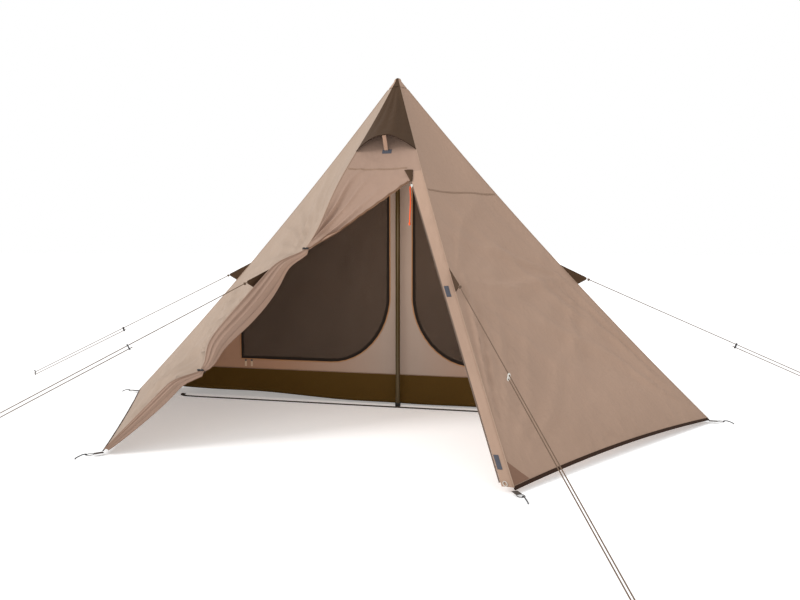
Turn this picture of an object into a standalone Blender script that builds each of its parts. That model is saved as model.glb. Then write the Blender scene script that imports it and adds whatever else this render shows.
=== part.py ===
"""One-pole tent, pitched: a six-sided fly with its door tied back, and a half-size inner tent behind it.

The origin is on the ground at the pole's axis. +Z is up and the open door faces -Y. All sizes are in metres.
"""

import math

import bmesh
import bpy
import numpy as np
from mathutils import Matrix, Vector

# Fly: the pitched outer tent
APEX_HEIGHT = 1.80
CORNER_RADIUS = 1.62
CORNER_HEIGHT = 0.022
CORNER_ANGLES = {
    "right": 0.0,
    "back_right": 60.0,
    "back_left": 120.0,
    "left": 180.0,
    "front_left": -126.0,
    "front_right": -60.0,
}
FLY_PANELS = (
    ("fly_left_panel", "left", "front_left"),
    ("fly_back_left_panel", "back_left", "left"),
    ("fly_back_panel", "back_right", "back_left"),
    ("fly_back_right_panel", "right", "back_right"),
    ("fly_right_panel", "front_right", "right"),
)
FLY_TOP_RADIUS = 0.036
RIDGE_SAG = 0.045
PANEL_SAG = 0.020
HEM_CUT = 0.026
FABRIC = 0.0015
GAP = 0.0003
SEAM_GAP = 0.0006
SEAM_STRETCH = 1.12

# Door flap, zip and toggles
UPPER_TOGGLE_DROP = 0.928
LOWER_TOGGLE_DROP = 1.465
UPPER_TOGGLE_HEIGHT = APEX_HEIGHT - UPPER_TOGGLE_DROP
LOWER_TOGGLE_HEIGHT = APEX_HEIGHT - LOWER_TOGGLE_DROP
UPPER_TOGGLE_PULL = 0.095
UPPER_PULL_ABOVE = 0.340
UPPER_PULL_BELOW = 0.070
GATHER_REACH = 0.150
LOWER_TOGGLE_PULL = 0.090
LOWER_PULL_ABOVE = 0.110
LOWER_PULL_BELOW = 0.045
DOOR_RIDGE_DRAG = 0.090
ROLL_WIDTH = 0.115
ROLL_HEIGHT = 0.042
TAIL_WIDTH = 0.062
TAIL_HEIGHT = 0.022
CINCHED_WIDTH = 0.018
CINCHED_HEIGHT = 0.008
ROLL_TURN = 225.0
FOLD_DEPTH = 0.014
FOLD_ANGLE = 22.0
FOLD_REACH = 0.16
ROLL_FOLD_DEPTH = 0.005
ZIP_TOP_DROP = 0.538
DOOR_CORNER_DROP = 0.048
ZIP_TOP_HEIGHT = APEX_HEIGHT - ZIP_TOP_DROP
ZIP_BOTTOM_HEIGHT = 0.030
DOOR_CORNER_HEIGHT = ZIP_TOP_HEIGHT - DOOR_CORNER_DROP
PLACKET_TOP_WIDTH = 0.068
PLACKET_BOTTOM_WIDTH = 0.046
PLACKET_TOP_GAP = 0.003
CHAIN_WIDTH = 0.006
CHAIN_THICKNESS = 0.002
CHAIN_TOP_DROP = 0.027
CHAIN_TOP_HEIGHT = ZIP_TOP_HEIGHT - CHAIN_TOP_DROP
CHAIN_BOTTOM_HEIGHT = 0.034
SLIDER_DROP = 0.072
SLIDER_HEIGHT = ZIP_TOP_HEIGHT - SLIDER_DROP
SLIDER_LENGTH = 0.016
SLIDER_WIDTH = 0.0098
SLIDER_THICKNESS = 0.0075
SLIDER_PLAY = 0.0006
PULL_LENGTH = 0.190
PULL_RADIUS = 0.0032
PULL_KNOT_RADIUS = 0.0060
TOGGLE_LENGTH = 0.030
TOGGLE_RADIUS = 0.0048

# Roof vent under its hood
HOOD_TOP_DROP = 0.052
HOOD_HEIGHT = 0.376
VENT_TOP_DROP = 0.126
VENT_HEIGHT = 0.125
HOOD_TOP_HEIGHT = APEX_HEIGHT - HOOD_TOP_DROP
HOOD_CORNER_HEIGHT = HOOD_TOP_HEIGHT - HOOD_HEIGHT
VENT_TOP_HEIGHT = HOOD_TOP_HEIGHT - VENT_TOP_DROP
VENT_BOTTOM_HEIGHT = VENT_TOP_HEIGHT - VENT_HEIGHT
HOOD_ARCH = 0.045
HOOD_STANDOFF = 0.0032
HOOD_BULGE = 0.080
VENT_MESH_THICKNESS = 0.0008
VENT_MESH_MARGIN = 0.012
PROP_WIDTH = 0.020
PROP_THICKNESS = 0.0015
PROP_FOOT_RISE = 0.012
PROP_FOOT_HEIGHT = HOOD_CORNER_HEIGHT + PROP_FOOT_RISE
PROP_SIDEWAYS = 0.014
PROP_INSET = 0.006

# Hem, corner ties, pegs and guy lines
BINDING_HEIGHT = 0.014
BINDING_THICKNESS = 0.003
TIE_WIDTH = 0.024
TIE_THICKNESS = 0.002
TIE_LENGTH = 0.033
RING_HEIGHT = 0.010
RING_WIRE_RADIUS = 0.0016
RING_HALF_LENGTH = 0.018
RING_HALF_WIDTH = 0.014
PEG_RADIUS = 0.0025
PEG_REACH = 0.044
TAB_TOP_DROP = 1.005
TAB_HEIGHT = 0.103
TAB_TIP_RISE = 0.030
TAB_TOP_HEIGHT = APEX_HEIGHT - TAB_TOP_DROP
TAB_BOTTOM_HEIGHT = TAB_TOP_HEIGHT - TAB_HEIGHT
TAB_TIP_HEIGHT = TAB_BOTTOM_HEIGHT + TAB_TIP_RISE
TAB_REACH = 0.072
TAB_TIP_WIDTH = 0.012
TAB_THICKNESS = 0.0012
TAB_GAP = 0.0008
ROPE_RADIUS = 0.002
ROPE_SPACING = 0.016
ROPE_TAIL = 0.012
ROPE_END_HEIGHT = 0.013
ROPE_PEGS = {
    "left": (-2.690, 0.390),
    "front_left": (-1.610, -1.660),
    "front_right": (1.217, -2.293),
    "right": (2.560, 0.420),
}
RUNNER_DISTANCES = {"left": 0.94, "front_left": 0.60, "front_right": 0.70, "right": 0.86}
RUNNER_LENGTH = 0.030
RUNNER_WIDTH = 0.009
RUNNER_THICKNESS = 0.006
RUNNER_HOLE_RADIUS = 0.0027

# Pole
POLE_RADIUS = 0.0125
POLE_WALL = 0.0012
POLE_JOINTS = (0.600, 1.190)
POLE_TOP_DROP = 0.018
POLE_TOP = APEX_HEIGHT - POLE_TOP_DROP
SPIGOT_LENGTH = 0.070
SPIGOT_CLEARANCE = 0.0004
FOOT_HEIGHT = 0.020
FOOT_BASE = 0.004
FOOT_WALL = 0.0025
CAP_PEAK = 0.006
CAP_HEIGHT = APEX_HEIGHT + CAP_PEAK
CAP_WALL = 0.0018
CAP_CLEARANCE = 0.0005
CAP_OVERLAP = 0.007

# Inner tent behind the pole
INNER_FRONT = 0.070
INNER_HALF_WIDTH = 1.350
INNER_BACK_RADIUS = 1.375
INNER_BACK_ANGLE = 60.0
INNER_TOP_DROP = 0.180
INNER_TOP_HEIGHT = APEX_HEIGHT - INNER_TOP_DROP
INNER_TOP_HALF_WIDTH = 0.045
INNER_TOP_DEPTH = 0.030
INNER_FABRIC = 0.002
INNER_SAG = 0.045
INNER_WALL_SETBACK = 0.005
TRAY_HEIGHT = 0.168
TRAY_SPREAD = 0.030
TRAY_WALL = 0.002
INNER_DOOR_CENTRE = 0.066
INNER_DOOR_OUTER = 0.980
INNER_DOOR_BOTTOM = 0.225
INNER_DOOR_OUTER_TOP = 0.470
INNER_DOOR_CORNER_WIDTH = 0.350
INNER_DOOR_CORNER_HEIGHT = 0.390
INNER_DOOR_GAP = 0.0008
INNER_DOOR_MESH = 0.0008
INNER_SLIDER_WIDTH = 0.010
INNER_SLIDER_HEIGHT = 0.013
INNER_SLIDER_THICKNESS = 0.004
INNER_SLIDER_PLACES = {"outer": 0.951, "inner": 0.913}
INNER_SLIDER_DROP = 0.004
INNER_PULL_WIDTH = 0.007
INNER_PULL_LENGTH = 0.030
HANGER_WIDTH = 0.020
HANGER_THICKNESS = 0.0015
HANGER_DROP = 0.042
HANGER_TOP = POLE_TOP - HANGER_DROP
STRAP_WIDTH = 0.025
STRAP_THICKNESS = 0.003
STRAP_IN_FRONT = 0.034
STRAP_HALF_LENGTH = 1.345
STRAP_BEND = 0.045

ROUND_SIDES = 20
PANEL_COLUMNS = 8
PANEL_ROWS = 11
UP = np.array([0.0, 0.0, 1.0])
APEX = UP * APEX_HEIGHT


def clear_scene():
    for existing in list(bpy.data.objects):
        bpy.data.objects.remove(existing, do_unlink=True)


def make_material(name, colour, roughness, metallic=0.0):
    material = bpy.data.materials.new(name)
    material.use_nodes = True
    shader = material.node_tree.nodes["Principled BSDF"]
    shader.inputs["Base Color"].default_value = (*colour, 1.0)
    shader.inputs["Roughness"].default_value = roughness
    shader.inputs["Metallic"].default_value = metallic
    return material


MATERIALS = {
    "fly_light": ((0.55, 0.46, 0.37), 0.75, 0.0),
    "fly_door": ((0.45, 0.33, 0.26), 0.75, 0.0),
    "fly_right": ((0.41, 0.29, 0.21), 0.75, 0.0),
    "brown_fabric": ((0.090, 0.062, 0.040), 0.80, 0.0),
    "inner_fabric": ((0.38, 0.29, 0.25), 0.80, 0.0),
    "inner_tan": ((0.25, 0.13, 0.085), 0.80, 0.0),
    "mesh_fabric": ((0.058, 0.046, 0.036), 0.85, 0.0),
    "floor_fabric": ((0.050, 0.027, 0.008), 0.65, 0.0),
    "pole_paint": ((0.075, 0.055, 0.015), 0.40, 0.2),
    "steel": ((0.55, 0.55, 0.56), 0.30, 1.0),
    "dark_steel": ((0.06, 0.06, 0.065), 0.45, 0.6),
    "black_plastic": ((0.015, 0.015, 0.016), 0.50, 0.0),
    "white_plastic": ((0.75, 0.74, 0.70), 0.45, 0.0),
    "orange_cord": ((0.70, 0.10, 0.025), 0.70, 0.0),
    "tan_rope": ((0.27, 0.20, 0.15), 0.80, 0.0),
    "tan_webbing": ((0.36, 0.26, 0.19), 0.80, 0.0),
    "grey_webbing": ((0.13, 0.11, 0.10), 0.80, 0.0),
}


def unit(vector):
    return vector / np.linalg.norm(vector)


def mix(first, second, share):
    return first * (1.0 - share) + second * share


def bow(share):
    """0 at both ends of a span and 1 at its middle, on a parabola."""
    return 4.0 * share * (1.0 - share)


def smooth_step(value):
    clamped = min(max(value, 0.0), 1.0)
    return clamped * clamped * (3.0 - 2.0 * clamped)


# Shape of the fly: each ridge runs from the apex, at share 0, to its corner's tip, at share 1


def corner_outward(corner):
    angle = math.radians(CORNER_ANGLES[corner])
    return np.array([math.cos(angle), math.sin(angle), 0.0])


def corner_sideways(corner):
    angle = math.radians(CORNER_ANGLES[corner])
    return np.array([-math.sin(angle), math.cos(angle), 0.0])


def corner_tip(corner):
    return corner_outward(corner) * CORNER_RADIUS + UP * CORNER_HEIGHT


def outward_normal(corner, next_corner):
    """The normal, facing out, of the flat triangle between the apex and two corners."""
    normal = unit(np.cross(corner_tip(corner) - APEX, corner_tip(next_corner) - APEX))
    return normal if normal[2] > 0.0 else -normal


RIDGE_LENGTH = float(np.linalg.norm(corner_tip("right") - APEX))
DOOR_SIDE = unit(corner_tip("front_right") - corner_tip("front_left"))
DOOR_NORMAL = outward_normal("front_left", "front_right")


def share_at(height):
    return (APEX_HEIGHT - height) / (APEX_HEIGHT - CORNER_HEIGHT)


UPPER_TOGGLE = share_at(UPPER_TOGGLE_HEIGHT)
LOWER_TOGGLE = share_at(LOWER_TOGGLE_HEIGHT)
FLY_TOP = FLY_TOP_RADIUS / CORNER_RADIUS
ZIP_TOP = share_at(ZIP_TOP_HEIGHT)
DOOR_CORNER = share_at(DOOR_CORNER_HEIGHT)


def toggle_pull(share, toggle, pull, above, below):
    """One toggle's pull on the ridge, which dies away at its own rate above and below the toggle."""
    reach = above if share < toggle else below
    away = (share - toggle) * RIDGE_LENGTH / reach
    return pull * math.exp(-away * away)


def door_ridge_drag(share):
    """How far the tied flap drags the front left ridge towards the door, most at the two toggles."""
    upper = toggle_pull(share, UPPER_TOGGLE, UPPER_TOGGLE_PULL, UPPER_PULL_ABOVE, UPPER_PULL_BELOW)
    lower = toggle_pull(share, LOWER_TOGGLE, LOWER_TOGGLE_PULL, LOWER_PULL_ABOVE, LOWER_PULL_BELOW)
    return DOOR_RIDGE_DRAG * bow(share) + upper + lower


def ridge_point(corner, share):
    radius = CORNER_RADIUS * share - RIDGE_SAG * bow(share)
    height = mix(APEX_HEIGHT, CORNER_HEIGHT, share)
    point = corner_outward(corner) * radius + UP * height
    if corner == "front_left":
        point = point + DOOR_SIDE * door_ridge_drag(share)
    return point


def hem_share(across):
    """The hem is cut to a shallow arch, so a panel ends a little above its corners in the middle."""
    return 1.0 - HEM_CUT / RIDGE_LENGTH * bow(across)


def fly_point(corner, next_corner, down, across):
    share = down * hem_share(across)
    flat = mix(ridge_point(corner, share), ridge_point(next_corner, share), across)
    sag = PANEL_SAG * bow(across) * math.sin(math.pi * down)
    return flat - outward_normal(corner, next_corner) * sag


# Solids made from grids of points


def grid_normals(grid, outward):
    """Unit normals of a grid of points, on the side that outward shows."""
    down = np.gradient(grid, axis=0)
    across = np.gradient(grid, axis=1)
    normals = np.cross(down, across)
    normals = normals / np.linalg.norm(normals, axis=2, keepdims=True)
    if np.sum(normals * outward) < 0.0:
        normals = -normals
    return normals


def seam_normal(corner):
    """The offset that both cloths of a ridge share, square to it and long enough for their thickness."""
    along = unit(corner_tip(corner) - APEX)
    across = corner_sideways(corner)
    outward = np.cross(across, along)
    return outward * math.copysign(SEAM_STRETCH, outward[2])


def turned_into_plane(offsets, column, plane_normal):
    """Slides one column's offsets along the cloth into the plane of the piece that it meets."""
    for row in range(offsets.shape[0]):
        offset = offsets[row, column]
        within = offset - plane_normal * np.dot(offset, plane_normal)
        offsets[row, column] = within * np.dot(offset, offset) / np.dot(within, within)


def new_object(name, mesh, material_name, matrix=None):
    mesh.materials.clear()
    mesh.materials.append(bpy.data.materials[material_name])
    made = bpy.data.objects.new(name, mesh)
    bpy.context.scene.collection.objects.link(made)
    if matrix is not None:
        made.matrix_world = matrix
    return made


def mesh_from(build, name, smooth=False):
    """Closes a bmesh as a mesh whose faces point outwards."""
    bmesh.ops.recalc_face_normals(build, faces=build.faces)
    mesh = bpy.data.meshes.new(name)
    build.to_mesh(mesh)
    build.free()
    if smooth:
        mesh.shade_smooth()
        mesh.set_sharp_from_angle(angle=math.radians(35.0))
    return mesh


def add_shell(name, front, back, material_name, open_cells=frozenset()):
    """A closed solid between two grids of points of one shape, with the cells in open_cells left out."""
    build = bmesh.new()
    layers = []
    for grid in (front, back):
        layers.append([[build.verts.new(point) for point in row] for row in grid])
    rows, columns = front.shape[:2]
    directed = set()
    for row in range(rows - 1):
        for column in range(columns - 1):
            if (row, column) in open_cells:
                continue
            corners = [(row, column), (row + 1, column), (row + 1, column + 1), (row, column + 1)]
            for half in (corners[:3], [corners[0], corners[2], corners[3]]):
                build.faces.new([layers[0][i][j] for i, j in half])
                build.faces.new([layers[1][i][j] for i, j in reversed(half)])
            directed.update(zip(corners, corners[1:] + corners[:1]))
    for start, end in directed:
        if (end, start) not in directed:
            build.faces.new(
                [
                    layers[0][end[0]][end[1]],
                    layers[0][start[0]][start[1]],
                    layers[1][start[0]][start[1]],
                    layers[1][end[0]][end[1]],
                ]
            )
    loose = [vertex for vertex in build.verts if not vertex.link_faces]
    bmesh.ops.delete(build, geom=loose, context="VERTS")
    return new_object(name, mesh_from(build, name, smooth=True), material_name)


def prism_mesh(name, outline, axis, start, end):
    """An outline of (first, second) coordinates pushed along the remaining axis, from start to end."""
    build = bmesh.new()
    loops = []
    for level in (start, end):
        loops.append([build.verts.new(np.insert(np.array(point, float), axis, level)) for point in outline])
    build.faces.new(loops[0])
    build.faces.new(list(reversed(loops[1])))
    for index in range(len(outline)):
        after = (index + 1) % len(outline)
        build.faces.new([loops[0][index], loops[0][after], loops[1][after], loops[1][index]])
    return mesh_from(build, name)


def box_mesh(name, size, centre=(0.0, 0.0, 0.0)):
    build = bmesh.new()
    scale = Matrix.Diagonal((*size, 1.0))
    bmesh.ops.create_cube(build, size=1.0, matrix=Matrix.Translation(centre) @ scale)
    return mesh_from(build, name)


def turned_mesh(name, profile, sides=ROUND_SIDES):
    """Spins a closed profile of (radius, height) points about Z. Points with radius 0 lie on the axis."""
    build = bmesh.new()
    rings = []
    for radius, height in profile:
        if radius == 0.0:
            rings.append([build.verts.new((0.0, 0.0, height))] * sides)
            continue
        ring = []
        for step in range(sides):
            angle = 2.0 * math.pi * step / sides
            ring.append(build.verts.new((radius * math.cos(angle), radius * math.sin(angle), height)))
        rings.append(ring)
    for ring, following in zip(rings, rings[1:] + rings[:1]):
        for step in range(sides):
            after = (step + 1) % sides
            corners = [ring[step], ring[after], following[after], following[step]]
            distinct = list(dict.fromkeys(corners))
            if len(distinct) > 2:
                build.faces.new(distinct)
    return mesh_from(build, name, smooth=True)


def tube_mesh(name, points, radius, sides, closed=False):
    """A round bar along points that lie in one vertical or one level plane."""
    path = [Vector(point) for point in points]
    build = bmesh.new()
    count = len(path)
    plane = (path[count // 2] - path[0]).cross(path[count // 4] - path[0]).normalized()
    rings = []
    for index, point in enumerate(path):
        if closed:
            before, after = path[index - 1], path[(index + 1) % count]
        else:
            before, after = path[max(index - 1, 0)], path[min(index + 1, count - 1)]
        forward = (after - before).normalized()
        inside = plane.cross(forward)
        ring = []
        for step in range(sides):
            angle = 2.0 * math.pi * (step + 0.5) / sides
            around = plane * math.cos(angle) + inside * math.sin(angle)
            ring.append(build.verts.new(point + around * radius))
        rings.append(ring)
    pairs = list(zip(rings, rings[1:]))
    if closed:
        pairs.append((rings[-1], rings[0]))
    else:
        build.faces.new(rings[0])
        build.faces.new(list(reversed(rings[-1])))
    for ring, following in pairs:
        for step in range(sides):
            after = (step + 1) % sides
            build.faces.new([ring[step], ring[after], following[after], following[step]])
    return mesh_from(build, name, smooth=True)


def add_cutter(name, mesh, matrix=None):
    """A helper that shapes another object and isn't part of the tent."""
    cutter = bpy.data.objects.new(name, mesh)
    bpy.context.scene.collection.objects.link(cutter)
    cutter.hide_render = True
    cutter.display_type = "WIRE"
    if matrix is not None:
        cutter.matrix_world = matrix
    return cutter


def add_boolean(target, other, operation):
    modifier = target.modifiers.new(other.name, "BOOLEAN")
    modifier.operation = operation
    modifier.object = other
    modifier.solver = "EXACT"


def add_cord(name, points, radius, material_name):
    curve = bpy.data.curves.new(name, "CURVE")
    curve.dimensions = "3D"
    curve.bevel_depth = radius
    curve.bevel_resolution = 2
    curve.use_fill_caps = True
    spline = curve.splines.new("POLY")
    spline.points.add(len(points) - 1)
    for place, point in zip(spline.points, points):
        place.co = (*point, 1.0)
    curve.materials.append(bpy.data.materials[material_name])
    made = bpy.data.objects.new(name, curve)
    bpy.context.scene.collection.objects.link(made)
    return made


# Fly panels


def add_fly_panel(name, corner, next_corner, material_name, shares):
    outward = outward_normal(corner, next_corner)
    side = unit(corner_tip(next_corner) - corner_tip(corner))
    grid = np.zeros((len(shares), PANEL_COLUMNS + 1, 3))
    for row, share in enumerate(shares):
        for column in range(PANEL_COLUMNS + 1):
            grid[row, column] = fly_point(corner, next_corner, share, column / PANEL_COLUMNS)
    grid[:, 0] += side * SEAM_GAP
    grid[:, -1] -= side * SEAM_GAP
    normals = grid_normals(grid, outward)
    normals[:, 0] = seam_normal(corner)
    normals[:, -1] = seam_normal(next_corner)
    return add_shell(name, grid, grid - normals * FABRIC, material_name)


def add_fly_panels():
    """The five sewn panels. The left one shares the door panel's rows, since toggles drag their ridge."""
    even = [mix(FLY_TOP, 1.0, row / PANEL_ROWS) for row in range(PANEL_ROWS + 1)]
    for name, corner, next_corner in FLY_PANELS:
        material_name = "fly_right" if name == "fly_right_panel" else "fly_light"
        shares = door_panel_shares() if name == "fly_left_panel" else even
        add_fly_panel(name, corner, next_corner, material_name, shares)


# Door panel: whole above the zip, and below it a flap that two toggles gather to the front left ridge


def whole_front_point(share, across):
    """A point of the front side as it would hang with no door cut into it."""
    flat = mix(ridge_point("front_left", share), ridge_point("front_right", share), across)
    return flat - DOOR_NORMAL * PANEL_SAG * bow(across) * math.sin(math.pi * share)


def zip_top_across():
    """Where the zip's top lies across the front side."""
    span = float(np.dot(ridge_point("front_right", ZIP_TOP) - ridge_point("front_left", ZIP_TOP), DOOR_SIDE))
    return 1.0 - PLACKET_TOP_WIDTH / span


ZIP_ACROSS = zip_top_across()
ZIP_START = whole_front_point(ZIP_TOP, ZIP_ACROSS)
ZIP_BOTTOM = share_at(ZIP_BOTTOM_HEIGHT)
ZIP_END = ridge_point("front_right", ZIP_BOTTOM) - DOOR_SIDE * PLACKET_BOTTOM_WIDTH
ZIP_DIRECTION = unit(ZIP_END - ZIP_START)
ZIP_NORMAL = unit(DOOR_NORMAL - ZIP_DIRECTION * np.dot(DOOR_NORMAL, ZIP_DIRECTION))
ZIP_LATERAL = np.cross(ZIP_NORMAL, ZIP_DIRECTION)


def zip_point(share):
    """The zip is one straight line from below the vent to the front right corner."""
    return mix(ZIP_START, ZIP_END, (share - ZIP_TOP) / (ZIP_BOTTOM - ZIP_TOP))


def roll_size(share):
    """Width and height of the gathered flap's section: cinched at the toggles and fuller between them."""
    if share <= LOWER_TOGGLE:
        between = (share - UPPER_TOGGLE) / (LOWER_TOGGLE - UPPER_TOGGLE)
        fullness = math.sin(math.pi * between) ** 0.75
        return mix(CINCHED_WIDTH, ROLL_WIDTH, fullness), mix(CINCHED_HEIGHT, ROLL_HEIGHT, fullness)
    below = min((share - LOWER_TOGGLE) / (1.0 - LOWER_TOGGLE), 1.0)
    fullness = max(math.sin(math.pi * below**0.6), 0.0) ** 0.8
    return mix(CINCHED_WIDTH, TAIL_WIDTH, fullness), mix(CINCHED_HEIGHT, TAIL_HEIGHT, fullness)


def door_edge_point(share):
    """The flap's free edge: beside the zip for a short way, then straight to the upper toggle."""
    beside_zip = DOOR_SIDE * (CHAIN_WIDTH + 4.0 * GAP)
    if share <= DOOR_CORNER:
        return zip_point(share) - beside_zip
    start = zip_point(DOOR_CORNER) - beside_zip
    end = ridge_point("front_left", UPPER_TOGGLE) + DOOR_SIDE * CINCHED_WIDTH
    return mix(start, end, (share - DOOR_CORNER) / (UPPER_TOGGLE - DOOR_CORNER))


def radiating_fold(point, share, across):
    """The height of the folds that fan out from the upper toggle and die away up the panel."""
    away = point - ridge_point("front_left", UPPER_TOGGLE)
    sideways = float(np.dot(away, DOOR_SIDE))
    upward = float(np.dot(away, unit(APEX - corner_tip("front_left"))))
    near = math.hypot(sideways, upward) / FOLD_REACH
    angle = math.degrees(math.atan2(sideways, max(upward, 1e-6)))
    below_hood = smooth_step((HOOD_CORNER_HEIGHT - mix(APEX_HEIGHT, CORNER_HEIGHT, share)) / FOLD_REACH)
    swell = near * math.exp(1.0 - near) * smooth_step(across / 0.35) * below_hood
    return FOLD_DEPTH * swell * (0.4 + math.sin(2.0 * math.pi * angle / FOLD_ANGLE))


def spread_flap_point(share, across):
    point = mix(ridge_point("front_left", share), door_edge_point(share), across)
    sag = PANEL_SAG * bow(across) * math.sin(math.pi * share)
    return point + DOOR_NORMAL * (radiating_fold(point, share, across) - sag)


def rolled_flap_point(share, across, width, height):
    """A point of the gathered flap, whose section curls from the ridge over to its tucked free edge."""
    turn = math.radians(ROLL_TURN) * across
    sideways = 0.5 * width * (1.0 - math.cos(turn))
    pleats = ROLL_FOLD_DEPTH * height / ROLL_HEIGHT * math.sin(3.0 * turn) * smooth_step(3.0 * across)
    outwards = height * math.sin(turn) + pleats
    return ridge_point("front_left", share) + DOOR_SIDE * sideways + DOOR_NORMAL * outwards


def flap_point(share, across):
    if share >= UPPER_TOGGLE:
        return rolled_flap_point(share, across, *roll_size(share))
    spread = spread_flap_point(share, across)
    gathered = smooth_step(1.0 - (UPPER_TOGGLE - share) * RIDGE_LENGTH / GATHER_REACH)
    width = float(np.dot(door_edge_point(share) - ridge_point("front_left", share), DOOR_SIDE))
    return mix(spread, rolled_flap_point(share, across, width, CINCHED_HEIGHT), gathered)


def door_panel_shares():
    vent_top = share_at(VENT_TOP_HEIGHT)
    vent_bottom = share_at(VENT_BOTTOM_HEIGHT)
    stretches = (
        (FLY_TOP, vent_top, 2),
        (vent_top, vent_bottom, 2),
        (vent_bottom, ZIP_TOP, 4),
        (ZIP_TOP, DOOR_CORNER, 2),
        (DOOR_CORNER, UPPER_TOGGLE, 8),
        (UPPER_TOGGLE, LOWER_TOGGLE, 11),
        (LOWER_TOGGLE, 1.0, 8),
    )
    shares = [FLY_TOP]
    for start, end, steps in stretches:
        shares.extend(mix(start, end, step / steps) for step in range(1, steps + 1))
    return shares


def add_door_panel(flap_columns=14, vent_columns=range(5, 9)):
    """The last column closes the front above the zip. Below it only the flap's columns have cloth."""
    shares = door_panel_shares()
    grid = np.zeros((len(shares), flap_columns + 1, 3))
    open_cells = set()
    for row, share in enumerate(shares):
        whole = share <= ZIP_TOP
        for column in range(flap_columns):
            across = column / (flap_columns - 1)
            if whole:
                grid[row, column] = whole_front_point(share, across * ZIP_ACROSS)
                fold = radiating_fold(grid[row, column], share, across * ZIP_ACROSS)
                grid[row, column] += DOOR_NORMAL * fold
            else:
                grid[row, column] = flap_point(share, across)
        if whole:
            grid[row, -1] = ridge_point("front_right", share) - DOOR_SIDE * SEAM_GAP
        else:
            grid[row, -1] = 2.0 * grid[row, -2] - grid[row, -3]
        if share > ZIP_TOP - 1e-9:
            open_cells.add((row, flap_columns - 1))
        if share_at(VENT_TOP_HEIGHT) - 1e-9 < share < share_at(VENT_BOTTOM_HEIGHT) - 1e-9:
            open_cells.update((row, column) for column in vent_columns)
    grid[:, 0] += DOOR_SIDE * SEAM_GAP
    normals = grid_normals(grid, DOOR_NORMAL)
    normals[:, 0] = seam_normal("front_left")
    whole_rows = [row for row, share in enumerate(shares) if share <= ZIP_TOP]
    normals[whole_rows, -1] = seam_normal("front_right")
    add_shell("fly_front_door_panel", grid, grid - normals * FABRIC, "fly_door", open_cells)


def add_placket(rows=12):
    """The strip between the zip and the front right ridge, which stays in place when the door is open."""
    first = ZIP_TOP + PLACKET_TOP_GAP / RIDGE_LENGTH
    grid = np.zeros((rows + 1, 3, 3))
    for row in range(rows + 1):
        share = mix(first, ZIP_BOTTOM, row / rows)
        left = zip_point(share)
        right = ridge_point("front_right", share) - DOOR_SIDE * SEAM_GAP
        for column in range(3):
            grid[row, column] = mix(left, right, column / 2.0)
    normals = grid_normals(grid, DOOR_NORMAL)
    turned_into_plane(normals, 0, ZIP_LATERAL)
    normals[:, -1] = seam_normal("front_right")
    add_shell("door_placket", grid, grid - normals * FABRIC, "fly_right")


# Zip: a straight chain beside the placket, and the slider with its cord pull


def zip_frame(height, sideways):
    """Axes on the chain: X down the zip, Y towards the placket, Z out of the tent."""
    centre = zip_point(share_at(height)) + ZIP_LATERAL * sideways - ZIP_NORMAL * (FABRIC / 2.0)
    frame = Matrix.Identity(4)
    for column, axis in enumerate((ZIP_DIRECTION, ZIP_LATERAL, ZIP_NORMAL, centre)):
        for row in range(3):
            frame[row][column] = axis[row]
    return frame


CHAIN_SIDEWAYS = -(GAP + CHAIN_WIDTH / 2.0)


def add_zip():
    top = zip_point(share_at(CHAIN_TOP_HEIGHT))
    bottom = zip_point(share_at(CHAIN_BOTTOM_HEIGHT))
    length = float(np.linalg.norm(bottom - top))
    chain = box_mesh("door_zip_chain", (length, CHAIN_WIDTH, CHAIN_THICKNESS), (length / 2.0, 0.0, 0.0))
    new_object("door_zip_chain", chain, "black_plastic", zip_frame(CHAIN_TOP_HEIGHT, CHAIN_SIDEWAYS))

    right = CHAIN_WIDTH / 2.0 - GAP / 2.0
    left = right - SLIDER_WIDTH
    slot_left = -(CHAIN_WIDTH / 2.0 + SLIDER_PLAY)
    slot = CHAIN_THICKNESS / 2.0 + SLIDER_PLAY
    face = SLIDER_THICKNESS / 2.0
    section = (
        (left, -face),
        (right, -face),
        (right, -slot),
        (slot_left, -slot),
        (slot_left, slot),
        (right, slot),
        (right, face),
        (left, face),
    )
    body = prism_mesh("door_zip_slider", section, 0, -SLIDER_LENGTH / 2.0, SLIDER_LENGTH / 2.0)
    frame = zip_frame(SLIDER_HEIGHT, CHAIN_SIDEWAYS)
    new_object("door_zip_slider", body, "white_plastic", frame)

    hang = np.array(frame @ Vector((0.0, left - PULL_RADIUS - 2.0 * GAP, 0.0)))
    lengths = (0.0, 0.35, 0.7, 0.90, 0.93, 0.965, 1.0)
    thickness = (1.0, 1.0, 1.0, 1.0, PULL_KNOT_RADIUS / PULL_RADIUS, PULL_KNOT_RADIUS / PULL_RADIUS, 0.9)
    pull = add_cord(
        "door_zip_pull_cord",
        [hang - UP * PULL_LENGTH * share for share in lengths],
        PULL_RADIUS,
        "orange_cord",
    )
    for point, scale in zip(pull.data.splines[0].points, thickness):
        point.radius = scale


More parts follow.
